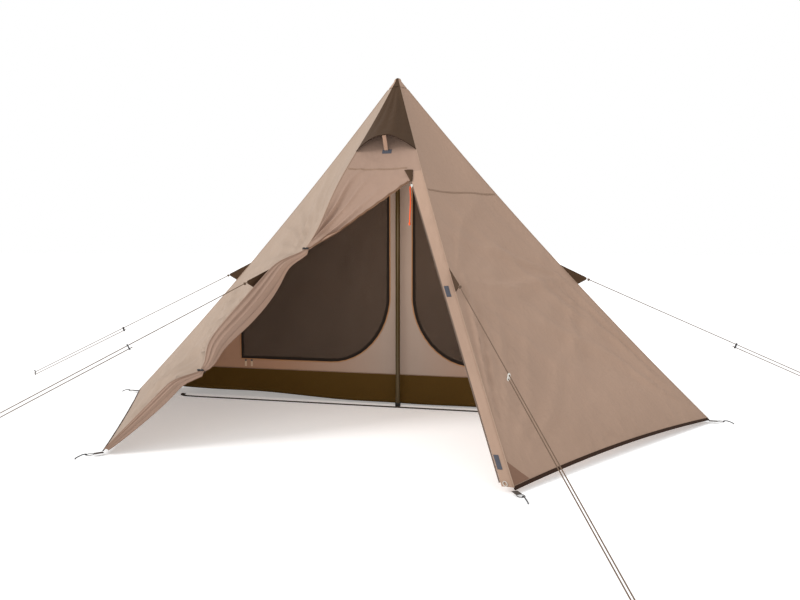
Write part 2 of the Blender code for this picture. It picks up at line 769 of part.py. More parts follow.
def add_toggles():
    """Barrel toggles that lie across the cinched flap."""
    waist = TOGGLE_RADIUS * 0.7
    half = TOGGLE_LENGTH / 2.0
    profile = (
        (0.0, -half),
        (TOGGLE_RADIUS * 0.7, -half),
        (TOGGLE_RADIUS, -half * 0.8),
        (TOGGLE_RADIUS, -half * 0.3),
        (waist, -half * 0.15),
        (waist, half * 0.15),
        (TOGGLE_RADIUS, half * 0.3),
        (TOGGLE_RADIUS, half * 0.8),
        (TOGGLE_RADIUS * 0.7, half),
        (0.0, half),
    )
    mesh = turned_mesh("door_toggle", profile, 12)
    for name, share in (("door_toggle_upper", UPPER_TOGGLE), ("door_toggle_lower", LOWER_TOGGLE)):
        lift = CINCHED_HEIGHT * 0.92 + TOGGLE_RADIUS + GAP
        place = ridge_point("front_left", share) + DOOR_SIDE * CINCHED_WIDTH * 0.5 + DOOR_NORMAL * lift
        turn = Vector((0.0, 0.0, 1.0)).rotation_difference(Vector(DOOR_SIDE))
        new_object(name, mesh, "black_plastic", Matrix.Translation(place) @ turn.to_matrix().to_4x4())


# Roof vent


def hood_point(down, across):
    lowest = share_at(HOOD_CORNER_HEIGHT) - HOOD_ARCH / RIDGE_LENGTH * bow(across)
    share = mix(share_at(HOOD_TOP_HEIGHT), lowest, down)
    lift = HOOD_STANDOFF + HOOD_BULGE * down**1.5 * bow(across)
    return whole_front_point(share, across) + DOOR_NORMAL * lift


def add_vent():
    rows, columns = 8, 12
    hood = np.zeros((rows + 1, columns + 1, 3))
    for row in range(rows + 1):
        for column in range(columns + 1):
            hood[row, column] = hood_point(row / rows, column / columns)
    add_shell("vent_hood", hood, hood - grid_normals(hood, DOOR_NORMAL) * FABRIC, "brown_fabric")

    margin = VENT_MESH_MARGIN / RIDGE_LENGTH
    first = share_at(VENT_TOP_HEIGHT) - margin
    last = share_at(VENT_BOTTOM_HEIGHT) + margin
    net = np.zeros((4, 7, 3))
    for row in range(4):
        for column in range(7):
            share = mix(first, last, row / 3.0)
            net[row, column] = whole_front_point(share, mix(0.27, 0.62, column / 6.0))
    net -= grid_normals(net, DOOR_NORMAL) * (FABRIC + 2.0 * GAP)
    back = net - grid_normals(net, DOOR_NORMAL) * VENT_MESH_THICKNESS
    add_shell("vent_mesh", net, back, "mesh_fabric")
    add_vent_prop()


def front_point_at(height, sideways):
    """The point of the whole front side at a height and an X."""
    share = share_at(height)
    left = ridge_point("front_left", share)
    right = ridge_point("front_right", share)
    return whole_front_point(share, (sideways - left[0]) / (right[0] - left[0]))


def add_vent_prop():
    """A stiff strap that hangs from the hood's edge and holds it off the panel below."""
    across = (PROP_SIDEWAYS - hood_point(1.0, 0.0)[0]) / (hood_point(1.0, 1.0)[0] - hood_point(1.0, 0.0)[0])
    edge = hood_point(1.0 - PROP_INSET / (HOOD_TOP_HEIGHT - HOOD_CORNER_HEIGHT), across)
    top = edge - DOOR_NORMAL * (FABRIC + PROP_THICKNESS + 2.0 * GAP)
    foot = front_point_at(PROP_FOOT_HEIGHT, PROP_SIDEWAYS) + DOOR_NORMAL * (PROP_THICKNESS + GAP)
    top[0] = foot[0]
    length = float(np.linalg.norm(foot - top))
    tilt = math.atan2(foot[1] - top[1], top[2] - foot[2])
    size = (PROP_WIDTH, PROP_THICKNESS, length)
    strap = box_mesh("vent_prop_strap", size, (0.0, 0.0, -length / 2.0))
    place = Matrix.Translation(top) @ Matrix.Rotation(tilt, 4, "X")
    new_object("vent_prop_strap", strap, "tan_webbing", place)


# Hem, corners and guy lines


def add_hem_binding():
    """One tape round the hem, from the front left corner by the back to the front right corner."""
    upper = []
    lower = []
    offsets = []
    order = ["front_left", "left", "back_left", "back_right", "right", "front_right"]
    for start, end in zip(order, order[1:]):
        outward = outward_normal(start, end)
        for step in range(PANEL_COLUMNS + 1):
            if step == 0 and start != order[0]:
                continue
            across = step / PANEL_COLUMNS
            edge = fly_point(start, end, 1.0, across)
            fall = unit(edge - fly_point(start, end, 0.97, across))
            offset = outward
            if step in (0, PANEL_COLUMNS):
                plane = corner_sideways(start if step == 0 else end)
                within = outward - plane * np.dot(outward, plane)
                offset = within / np.dot(within, within)
            upper.append(edge + fall * SEAM_GAP)
            lower.append(edge + fall * (SEAM_GAP + BINDING_HEIGHT))
            offsets.append(offset)
    front = np.array([upper, lower])
    back = front - np.array([offsets, offsets]) * BINDING_THICKNESS
    add_shell("hem_binding", front, back, "brown_fabric")


def corner_matrix(corner):
    """Axes at a corner's tip on the ground: X straight out, Z up."""
    turn = Matrix.Rotation(math.radians(CORNER_ANGLES[corner]), 4, "Z")
    return turn @ Matrix.Translation((CORNER_RADIUS, 0.0, 0.0))


def ridge_fall():
    """How far out and how far down one metre of the hem binding reaches at a corner."""
    fall = unit(ridge_point("right", 1.0) - ridge_point("right", 0.97))
    return float(fall[0]), float(-fall[2])


TIE_START = (SEAM_GAP + BINDING_HEIGHT) * ridge_fall()[0] + GAP
RING_CENTRE = TIE_START + TIE_LENGTH + RING_HALF_LENGTH - RING_WIRE_RADIUS


def fused_mesh(name, solid, other, operation="UNION"):
    """The mesh of two solids after a Boolean, made once so that every copy can share it."""
    first = new_object(name + "_first", solid, "steel")
    second = add_cutter(name + "_second", other)
    add_boolean(first, second, operation)
    graph = bpy.context.evaluated_depsgraph_get()
    mesh = bpy.data.meshes.new_from_object(first.evaluated_get(graph))
    mesh.name = name
    bpy.data.objects.remove(first)
    bpy.data.objects.remove(second)
    return mesh


def tie_mesh():
    size = (TIE_LENGTH, TIE_WIDTH, TIE_THICKNESS)
    webbing = box_mesh("tie_webbing", size, (TIE_START + TIE_LENGTH / 2.0, 0.0, RING_HEIGHT))
    oval = []
    for step in range(16):
        angle = 2.0 * math.pi * step / 16
        out = RING_CENTRE + RING_HALF_LENGTH * math.cos(angle)
        oval.append((out, RING_HALF_WIDTH * math.sin(angle), RING_HEIGHT))
    ring = tube_mesh("tie_ring", oval, RING_WIRE_RADIUS, 6, closed=True)
    return fused_mesh("corner_tie", webbing, ring)


def peg_mesh():
    """The part of a hooked wire peg that stands out of the ground, cut level where it enters the ground."""
    wire = RING_CENTRE + RING_HALF_LENGTH
    hook = RING_WIRE_RADIUS + GAP + PEG_RADIUS
    path = [(wire - hook, 0.0, RING_HEIGHT - 0.6 * hook)]
    for degrees in (180.0, 150.0, 120.0, 90.0):
        angle = math.radians(degrees)
        path.append((wire + hook * math.cos(angle), 0.0, RING_HEIGHT + hook * math.sin(angle)))
    top = RING_HEIGHT + hook
    path.append((wire + 0.3 * PEG_REACH, 0.0, top))
    path.append((wire + 0.7 * PEG_REACH, 0.0, top * 0.62))
    path.append((wire + 0.95 * PEG_REACH, 0.0, top * 0.30))
    path.append((wire + PEG_REACH, 0.0, top * 0.16))
    path.append((wire + PEG_REACH, 0.0, 0.0))
    return tube_mesh("corner_peg", path, PEG_RADIUS, 8)


def tab_tip(corner):
    """The middle of a guy tab's blunt tip."""
    return ridge_point(corner, share_at(TAB_TIP_HEIGHT)) + corner_outward(corner) * TAB_REACH


def add_corners():
    tie = tie_mesh()
    peg = peg_mesh()
    for corner in CORNER_ANGLES:
        new_object("corner_tie_" + corner, tie, "grey_webbing", corner_matrix(corner))
        new_object("corner_peg_" + corner, peg, "dark_steel", corner_matrix(corner))
        tip = tab_tip(corner)
        blunt = UP * TAB_TIP_WIDTH / 2.0
        flat = np.zeros((7, 2, 3))
        for row in range(7):
            height = mix(TAB_TOP_HEIGHT, TAB_BOTTOM_HEIGHT, row / 6.0)
            flat[row, 0] = ridge_point(corner, share_at(height)) + corner_outward(corner) * TAB_GAP
            flat[row, 1] = tip + blunt * (1.0 - row / 3.0)
        thick = corner_sideways(corner) * TAB_THICKNESS / 2.0
        add_shell("guy_tab_" + corner, flat + thick, flat - thick, "brown_fabric")


def rope_line(corner):
    """Start, ground end, direction and the direction across both strands of one taut guy line."""
    tip = tab_tip(corner)
    peg = np.array([*ROPE_PEGS[corner], ROPE_END_HEIGHT + ROPE_SPACING / 2.0])
    along = unit(peg - tip)
    start = tip + along * (GAP - ROPE_RADIUS * along[2]) / math.hypot(along[0], along[1])
    level = unit(np.cross(along, UP))
    below = np.cross(along, level)
    if below[2] > 0.0:
        below = -below
    return start, peg, along, below


def rope_points(corner):
    """Down the upper strand, round the peg and back up the lower strand to the runner."""
    start, peg, along, below = rope_line(corner)
    runner = start + along * RUNNER_DISTANCES[corner]
    upper = [mix(start, peg, step / 22.0) for step in range(23)]
    centre = peg + below * ROPE_SPACING / 2.0
    turn = []
    for degrees in (30.0, 60.0, 90.0, 120.0, 150.0):
        angle = math.radians(degrees)
        turn.append(centre + (along * math.sin(angle) - below * math.cos(angle)) * ROPE_SPACING / 2.0)
    far = peg + below * ROPE_SPACING
    near = runner + below * ROPE_SPACING - along * (RUNNER_THICKNESS / 2.0 + ROPE_TAIL)
    lower = [mix(far, near, step / 12.0) for step in range(13)]
    return upper + turn + lower


def runner_mesh():
    """A bar with one hole for each strand. X runs down the rope and the lower hole is at -Z."""
    round_steps = range(0, 181, 30)
    half = RUNNER_WIDTH / 2.0
    straight = RUNNER_LENGTH / 2.0 - half
    outline = []
    for degrees in round_steps:
        angle = math.radians(degrees)
        outline.append((half * math.cos(angle), straight + half * math.sin(angle) - ROPE_SPACING / 2.0))
    for degrees in round_steps:
        angle = math.radians(degrees + 180)
        outline.append((half * math.cos(angle), -straight + half * math.sin(angle) - ROPE_SPACING / 2.0))
    bar = prism_mesh("runner_bar", outline, 0, -RUNNER_THICKNESS / 2.0, RUNNER_THICKNESS / 2.0)
    holes = bmesh.new()
    for height in (0.0, -ROPE_SPACING):
        place = Matrix.Translation((0.0, 0.0, height)) @ Matrix.Rotation(math.pi / 2.0, 4, "Y")
        bmesh.ops.create_cone(
            holes,
            cap_ends=True,
            segments=12,
            radius1=RUNNER_HOLE_RADIUS,
            radius2=RUNNER_HOLE_RADIUS,
            depth=RUNNER_THICKNESS * 2.0,
            matrix=place,
        )
    return fused_mesh("guy_runner", bar, mesh_from(holes, "runner_holes"), "DIFFERENCE")


def add_guy_lines():
    mesh = runner_mesh()
    for corner in ROPE_PEGS:
        add_cord("guy_rope_" + corner, rope_points(corner), ROPE_RADIUS, "tan_rope")
        start, _, along, below = rope_line(corner)
        frame = Matrix.Identity(4)
        centre = start + along * RUNNER_DISTANCES[corner]
        for column, axis in enumerate((along, np.cross(-below, along), -below, centre)):
            for row in range(3):
                frame[row][column] = axis[row]
        material_name = "white_plastic" if corner == "front_right" else "dark_steel"
        new_object("guy_runner_" + corner, mesh.copy(), material_name, frame)


# Pole and the cap over its tip


def fly_radius_at(height):
    """The radius of the fly's ridges close under the apex."""
    return float(np.linalg.norm(ridge_point("right", share_at(height))[:2]))


def add_pole():
    bore = POLE_RADIUS - POLE_WALL
    spigot = bore - SPIGOT_CLEARANCE
    spigot_bore = spigot - POLE_WALL
    cup = POLE_RADIUS + GAP
    foot = (
        (0.0, 0.0),
        (cup + FOOT_WALL * 0.6, 0.0),
        (cup + FOOT_WALL, FOOT_WALL * 0.4),
        (cup + FOOT_WALL, FOOT_HEIGHT),
        (cup, FOOT_HEIGHT),
        (cup, FOOT_BASE),
        (0.0, FOOT_BASE),
    )
    new_object("pole_foot", turned_mesh("pole_foot", foot), "black_plastic")
    first_joint, second_joint = POLE_JOINTS
    bottom = FOOT_BASE + GAP
    lower = ((bore, bottom), (POLE_RADIUS, bottom), (POLE_RADIUS, first_joint), (bore, first_joint))
    new_object("pole_lower", turned_mesh("pole_lower", lower), "pole_paint")

    def section_start(joint):
        return [
            (spigot_bore, joint - SPIGOT_LENGTH),
            (spigot, joint - SPIGOT_LENGTH),
            (spigot, joint + GAP),
            (POLE_RADIUS, joint + GAP),
        ]

    def section_inside(joint):
        return [(bore, joint + POLE_RADIUS), (spigot_bore, joint + POLE_RADIUS - POLE_WALL)]

    middle = section_start(first_joint) + [(POLE_RADIUS, second_joint), (bore, second_joint)]
    new_object("pole_middle", turned_mesh("pole_middle", middle + section_inside(first_joint)), "pole_paint")
    tip = [
        (POLE_RADIUS, POLE_TOP - POLE_RADIUS / 3.0),
        (POLE_RADIUS * 0.6, POLE_TOP),
        (0.0, POLE_TOP),
        (0.0, POLE_TOP - POLE_RADIUS / 2.0),
        (bore, POLE_TOP - POLE_RADIUS / 2.0),
    ]
    upper = section_start(second_joint) + tip + section_inside(second_joint)
    new_object("pole_upper", turned_mesh("pole_upper", upper), "pole_paint")


def add_apex_cap():
    skirt = mix(APEX_HEIGHT, CORNER_HEIGHT, FLY_TOP) - CAP_OVERLAP
    roof = POLE_TOP + GAP
    inner_roof = fly_radius_at(roof) + CAP_CLEARANCE
    inner_skirt = fly_radius_at(skirt) + CAP_CLEARANCE
    profile = (
        (0.0, roof),
        (inner_roof, roof),
        (inner_skirt, skirt),
        (inner_skirt + CAP_WALL, skirt),
        (inner_roof + CAP_WALL, roof),
        (inner_roof * 0.6, mix(roof, CAP_HEIGHT, 0.75)),
        (inner_roof * 0.3, mix(roof, CAP_HEIGHT, 0.95)),
        (0.0, CAP_HEIGHT),
    )
    new_object("apex_cap", turned_mesh("apex_cap", profile, 24), "fly_door")


# Inner tent


def inner_outline(spread, top=False):
    """Four corners of the half hexagon behind the pole, from the front left round the back."""
    half = INNER_HALF_WIDTH + 1.3 * spread
    radius = INNER_BACK_RADIUS + 1.15 * spread
    angle = math.radians(INNER_BACK_ANGLE)
    front = INNER_FRONT - spread
    back_x, back_y = radius * math.cos(angle), radius * math.sin(angle)
    if top:
        half = INNER_TOP_HALF_WIDTH
        front = INNER_FRONT
        back_x, back_y = half / 2.0, INNER_FRONT + INNER_TOP_DEPTH
    return [(-half, front), (-back_x, back_y), (back_x, back_y), (half, front)]


def add_floor_tray():
    """A bathtub floor: a flat bottom with low leaning walls."""
    build = bmesh.new()
    rings = []
    levels = (
        (TRAY_SPREAD, 0.0),
        (0.0, TRAY_HEIGHT),
        (-TRAY_WALL, TRAY_HEIGHT),
        (TRAY_SPREAD - TRAY_WALL, TRAY_WALL),
    )
    for spread, height in levels:
        rings.append([build.verts.new((x, y, height)) for x, y in inner_outline(spread)])
    build.faces.new(rings[0])
    build.faces.new(rings[-1])
    for ring, following in zip(rings, rings[1:]):
        for index in range(4):
            after = (index + 1) % 4
            build.faces.new([ring[index], ring[after], following[after], following[index]])
    new_object("inner_floor", mesh_from(build, "inner_floor"), "floor_fabric")


WALL_SLOPE = (INNER_TOP_HEIGHT - TRAY_HEIGHT) / (INNER_HALF_WIDTH - INNER_TOP_HALF_WIDTH)


def door_top(sideways):
    """The height of an inner door's sloping top edge, which runs parallel to the wall's edge."""
    return INNER_DOOR_OUTER_TOP + (INNER_DOOR_OUTER - sideways) * WALL_SLOPE


def inner_door_outline(side, grow):
    """One door's outline in X and Z. side is -1 for the left door, and grow widens it all round."""
    centre = INNER_DOOR_CENTRE - grow
    outer = INNER_DOOR_OUTER + grow
    bottom = INNER_DOOR_BOTTOM - grow
    raised = grow * math.hypot(1.0, WALL_SLOPE)
    width = INNER_DOOR_CORNER_WIDTH
    height = INNER_DOOR_CORNER_HEIGHT
    points = [(centre, door_top(centre) + raised)]
    for step in range(9):
        angle = math.pi / 2.0 * step / 8.0
        points.append((centre + width * (1.0 - math.cos(angle)), bottom + height * (1.0 - math.sin(angle))))
    points.append((outer, bottom))
    points.append((outer, door_top(outer) + raised))
    return [(side * x, z) for x, z in points]


def move_origin(made, point):
    made.data.transform(Matrix.Translation(-Vector(point)))
    made.matrix_world = Matrix.Translation(point)


def add_inner_front():
    half = INNER_HALF_WIDTH
    top = INNER_TOP_HALF_WIDTH
    base = TRAY_HEIGHT + GAP
    outline = [(-half, base), (half, base), (top, INNER_TOP_HEIGHT), (-top, INNER_TOP_HEIGHT)]
    front, back = INNER_FRONT, INNER_FRONT + INNER_FABRIC
    wall_mesh = prism_mesh("inner_front_wall", outline, 1, front, back)
    wall = new_object("inner_front_wall", wall_mesh, "inner_fabric")
    for side, name in ((-1, "left"), (1, "right")):
        opening = inner_door_outline(side, INNER_DOOR_GAP)
        mesh = prism_mesh("opening_" + name, opening, 1, front - INNER_FABRIC, back + INNER_FABRIC)
        add_boolean(wall, add_cutter("opening_" + name, mesh), "DIFFERENCE")
        door_name = "inner_door_" + name
        door_mesh = prism_mesh(door_name, inner_door_outline(side, 0.0), 1, front, front + INNER_DOOR_MESH)
        door = new_object(door_name, door_mesh, "mesh_fabric")
        hinge = (side * INNER_DOOR_OUTER, front, INNER_DOOR_OUTER_TOP)
        move_origin(door, hinge)


def inner_edge_point(index, down):
    """A point of the seam between two inner walls. The seams behind the front wall hang inwards."""
    top = np.array([*inner_outline(0.0, top=True)[index], INNER_TOP_HEIGHT])
    bottom = np.array([*inner_outline(0.0)[index], TRAY_HEIGHT + GAP])
    point = mix(top, bottom, down)
    if index in (1, 2):
        level = unit(bottom - np.array([0.0, INNER_FRONT, bottom[2]]))
        point = point - level * INNER_SAG * bow(down)
    return point


def add_inner_walls(rows=6, columns=2):
    """The three walls behind the front wall, sewn together along leaning seams."""
    names = ("inner_wall_back_left", "inner_wall_back", "inner_wall_back_right")
    front_plane = np.array([0.0, 1.0, 0.0])
    for index, name in enumerate(names):
        grid = np.zeros((rows + 1, columns + 1, 3))
        for row in range(rows + 1):
            left = inner_edge_point(index, row / rows)
            right = inner_edge_point(index + 1, row / rows)
            along = unit(right - left)
            left = left + along * (INNER_WALL_SETBACK if index == 0 else INNER_FABRIC)
            right = right - along * (INNER_WALL_SETBACK if index == 2 else INNER_FABRIC)
            for column in range(columns + 1):
                grid[row, column] = mix(left, right, column / columns)
        outward = np.cross(grid[-1, -1] - grid[-1, 0], UP)
        normals = grid_normals(grid, outward)
        level = normals * np.array([1.0, 1.0, 0.0])
        inward = level / np.sum(level * normals, axis=2, keepdims=True)
        if index == 0:
            turned_into_plane(inward, 0, front_plane)
        if index == 2:
            turned_into_plane(inward, -1, front_plane)
        add_shell(name, grid, grid - inward * INNER_FABRIC, "inner_tan")


def add_inner_sliders():
    """Two zip sliders with webbing pulls on the bottom zip of each inner door."""
    half = INNER_SLIDER_WIDTH / 2.0
    pull = INNER_PULL_WIDTH / 2.0
    low = -INNER_SLIDER_HEIGHT
    outline = [
        (-half, 0.0),
        (-half, low),
        (-pull, low),
        (-pull, low - INNER_PULL_LENGTH),
        (pull, low - INNER_PULL_LENGTH),
        (pull, low),
        (half, low),
        (half, 0.0),
    ]
    mesh = prism_mesh("inner_slider", outline, 1, -INNER_SLIDER_THICKNESS, 0.0)
    height = INNER_DOOR_BOTTOM - INNER_SLIDER_DROP
    for side, side_name in ((-1, "left"), (1, "right")):
        for place_name, sideways in INNER_SLIDER_PLACES.items():
            name = f"inner_slider_{side_name}_{place_name}"
            place = (side * sideways, INNER_FRONT - GAP, height)
            new_object(name, mesh, "tan_webbing", Matrix.Translation(place))


def add_straps():
    half = HANGER_WIDTH / 2.0
    wall_top = (0.0, INNER_FRONT - GAP, INNER_TOP_HEIGHT + GAP)
    behind_pole = POLE_RADIUS + GAP + HANGER_THICKNESS
    route = [wall_top, (0.0, behind_pole + 0.006, HANGER_TOP - 0.050), (0.0, behind_pole, HANGER_TOP)]
    widths = [(half, 0.0, 0.0)] * 3
    grid = np.stack([np.array(route) - np.array(widths), np.array(route) + np.array(widths)], axis=1)
    depth = np.array([0.0, HANGER_THICKNESS, 0.0])
    add_shell("inner_hanging_strap", grid, grid - depth, "tan_webbing")

    tray_front = INNER_FRONT - TRAY_SPREAD - GAP
    level = STRAP_THICKNESS
    quarter = [
        (STRAP_HALF_LENGTH, tray_front, level),
        (STRAP_HALF_LENGTH, tray_front - 0.4 * STRAP_BEND, level),
        (STRAP_HALF_LENGTH - 0.35 * STRAP_BEND, tray_front - STRAP_BEND, level),
        (STRAP_HALF_LENGTH - STRAP_BEND, -STRAP_IN_FRONT + 0.006, level),
        (STRAP_HALF_LENGTH - 3.0 * STRAP_BEND, -STRAP_IN_FRONT, level),
    ]
    points = [(-x, y, z) for x, y, z in quarter] + list(reversed(quarter))
    path = np.array(points)
    forward = np.gradient(path, axis=0)
    across = [np.cross(UP, unit(step)) * STRAP_WIDTH / 2.0 for step in forward]
    grid = np.stack([path - np.array(across), path + np.array(across)], axis=1)
    add_shell("ground_strap", grid, grid - UP * STRAP_THICKNESS, "grey_webbing")


def build_tent():
    clear_scene()
    for name, (colour, roughness, metallic) in MATERIALS.items():
        make_material(name, colour, roughness, metallic)
    add_fly_panels()
    add_door_panel()
    add_placket()
    add_zip()
    add_toggles()
    add_vent()
    add_hem_binding()
    add_corners()
    add_guy_lines()
    add_pole()
    add_apex_cap()
    add_floor_tray()
    add_inner_front()
    add_inner_walls()
    add_inner_sliders()
    add_straps()


build_tent()
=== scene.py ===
"""A pitched one-pole tent with its door tied back: cloth, webbing, cords and fittings dressed over its solids."""

import logging
import math
from dataclasses import dataclass, field
from enum import Enum
from functools import partial
from typing import Callable, Optional, Sequence

import bmesh
import bpy
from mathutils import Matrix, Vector, noise


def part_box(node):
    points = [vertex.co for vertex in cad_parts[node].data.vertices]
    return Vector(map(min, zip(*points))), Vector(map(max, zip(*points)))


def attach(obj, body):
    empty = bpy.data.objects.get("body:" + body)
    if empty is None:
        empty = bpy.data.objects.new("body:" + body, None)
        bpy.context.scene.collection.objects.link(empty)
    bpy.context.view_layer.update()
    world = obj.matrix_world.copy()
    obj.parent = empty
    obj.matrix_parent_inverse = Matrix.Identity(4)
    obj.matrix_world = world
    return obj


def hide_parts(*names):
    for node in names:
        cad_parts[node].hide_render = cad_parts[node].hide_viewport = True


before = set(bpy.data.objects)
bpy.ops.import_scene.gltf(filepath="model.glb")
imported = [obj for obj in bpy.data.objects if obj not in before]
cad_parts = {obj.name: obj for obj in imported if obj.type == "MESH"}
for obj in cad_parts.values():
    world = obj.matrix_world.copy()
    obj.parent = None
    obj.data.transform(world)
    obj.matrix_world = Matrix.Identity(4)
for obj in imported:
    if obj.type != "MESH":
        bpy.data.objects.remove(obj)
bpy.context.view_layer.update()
LOG = logging.getLogger("one_pole_tent")
UP = Vector((0.0, 0.0, 1.0))
AHEAD = Vector((0.0, -1.0, 0.0))
BACKWARD = Vector((0.0, 1.0, 0.0))
RIGHTWARD = Vector((1.0, 0.0, 0.0))
Place = Callable[[float, float], Vector]
Outward = Optional[Vector | Callable[[Vector], Vector]]


class Corner(Enum):
    """The fly's six corners, with the direction of each from the pole in degrees."""

    RIGHT = 0.0
    BACK_RIGHT = 60.0
    BACK_LEFT = 120.0
    LEFT = 180.0
    FRONT_LEFT = -126.0
    FRONT_RIGHT = -60.0

    @property
    def label(self) -> str:
        """The corner's name as the nodes spell it."""
        return self.name.lower()

    @property
    def outward(self) -> Vector:
        """The level direction from the pole to this corner."""
        angle = math.radians(self.value)
        return Vector((math.cos(angle), math.sin(angle), 0.0))

    @property
    def sideways(self) -> Vector:
        """The level direction square to outward, counter-clockwise from above."""
        angle = math.radians(self.value)
        return Vector((-math.sin(angle), math.cos(angle), 0.0))


class Side(Enum):
    """Left and right as seen from the open door, with the sign of X."""

    LEFT = -1.0
    RIGHT = 1.0

    @property
    def label(self) -> str:
        """The side's name as the nodes spell it."""
        return self.name.lower()


def mix(first, second, share: float):
    """Blends two numbers or two points.

    Args:
        first: the value at share 0.
        second: the value at share 1.
        share: how far along, from 0 to 1.

    Returns:
        The blended number or point.
    """
    return first * (1.0 - share) + second * share


def bow(share: float) -> float:
    """A parabola that is 0 at both ends of a span and 1 at its middle."""
    return 4.0 * share * (1.0 - share)


def smooth_step(value: float) -> float:
    """An even rise from 0 at value 0 to 1 at value 1, level at both ends."""
    clamped = min(max(value, 0.0), 1.0)
    return clamped * clamped * (3.0 - 2.0 * clamped)


def crest(turn: float) -> float:
    """A fold's section: one narrow ridge and one wide valley in each turn, with a mean of 0."""
    return math.exp(2.0 * (math.cos(turn) - 1.0)) - 0.31


def steps(count: int) -> list[float]:
    """The shares from 0 to 1 in a number of even steps."""
    return [step / count for step in range(count + 1)]


def turns(count: int) -> list[float]:
    """Even angles round one turn, in radians."""
    return [2.0 * math.pi * step / count for step in range(count)]


def crowded(count: int, share: float) -> list[float]:
    """The shares from 0 to 1, closer together at both ends.

    Args:
        count: the number of steps.
        share: how much of the crowding is taken, from 0 to 1.

    Returns:
        Every value, from 0 to 1.
    """
    return [mix(step / count, 0.5 - 0.5 * math.cos(math.pi * step / count), share) for step in range(count + 1)]


def line_between(start: Vector, end: Vector, count: int) -> list[Vector]:
    """Points on the straight line between two points, in a number of even steps."""
    return [mix(start, end, share) for share in steps(count)]


def path_length(points: Sequence[Vector]) -> float:
    """The length of a line through points."""
    return sum((end - start).length for start, end in zip(points, points[1:]))


def spaced(knots: Sequence[float], rows: Sequence[int]) -> list[float]:
    """Even steps between knots.

    Args:
        knots: the values that a row has to fall on.
        rows: the number of steps between each two knots.

    Returns:
        Every value, from the first knot to the last.
    """
    values = [knots[0]]
    for start, end, count in zip(knots, knots[1:], rows):
        values.extend(mix(start, end, step / count) for step in range(1, count + 1))
    return values


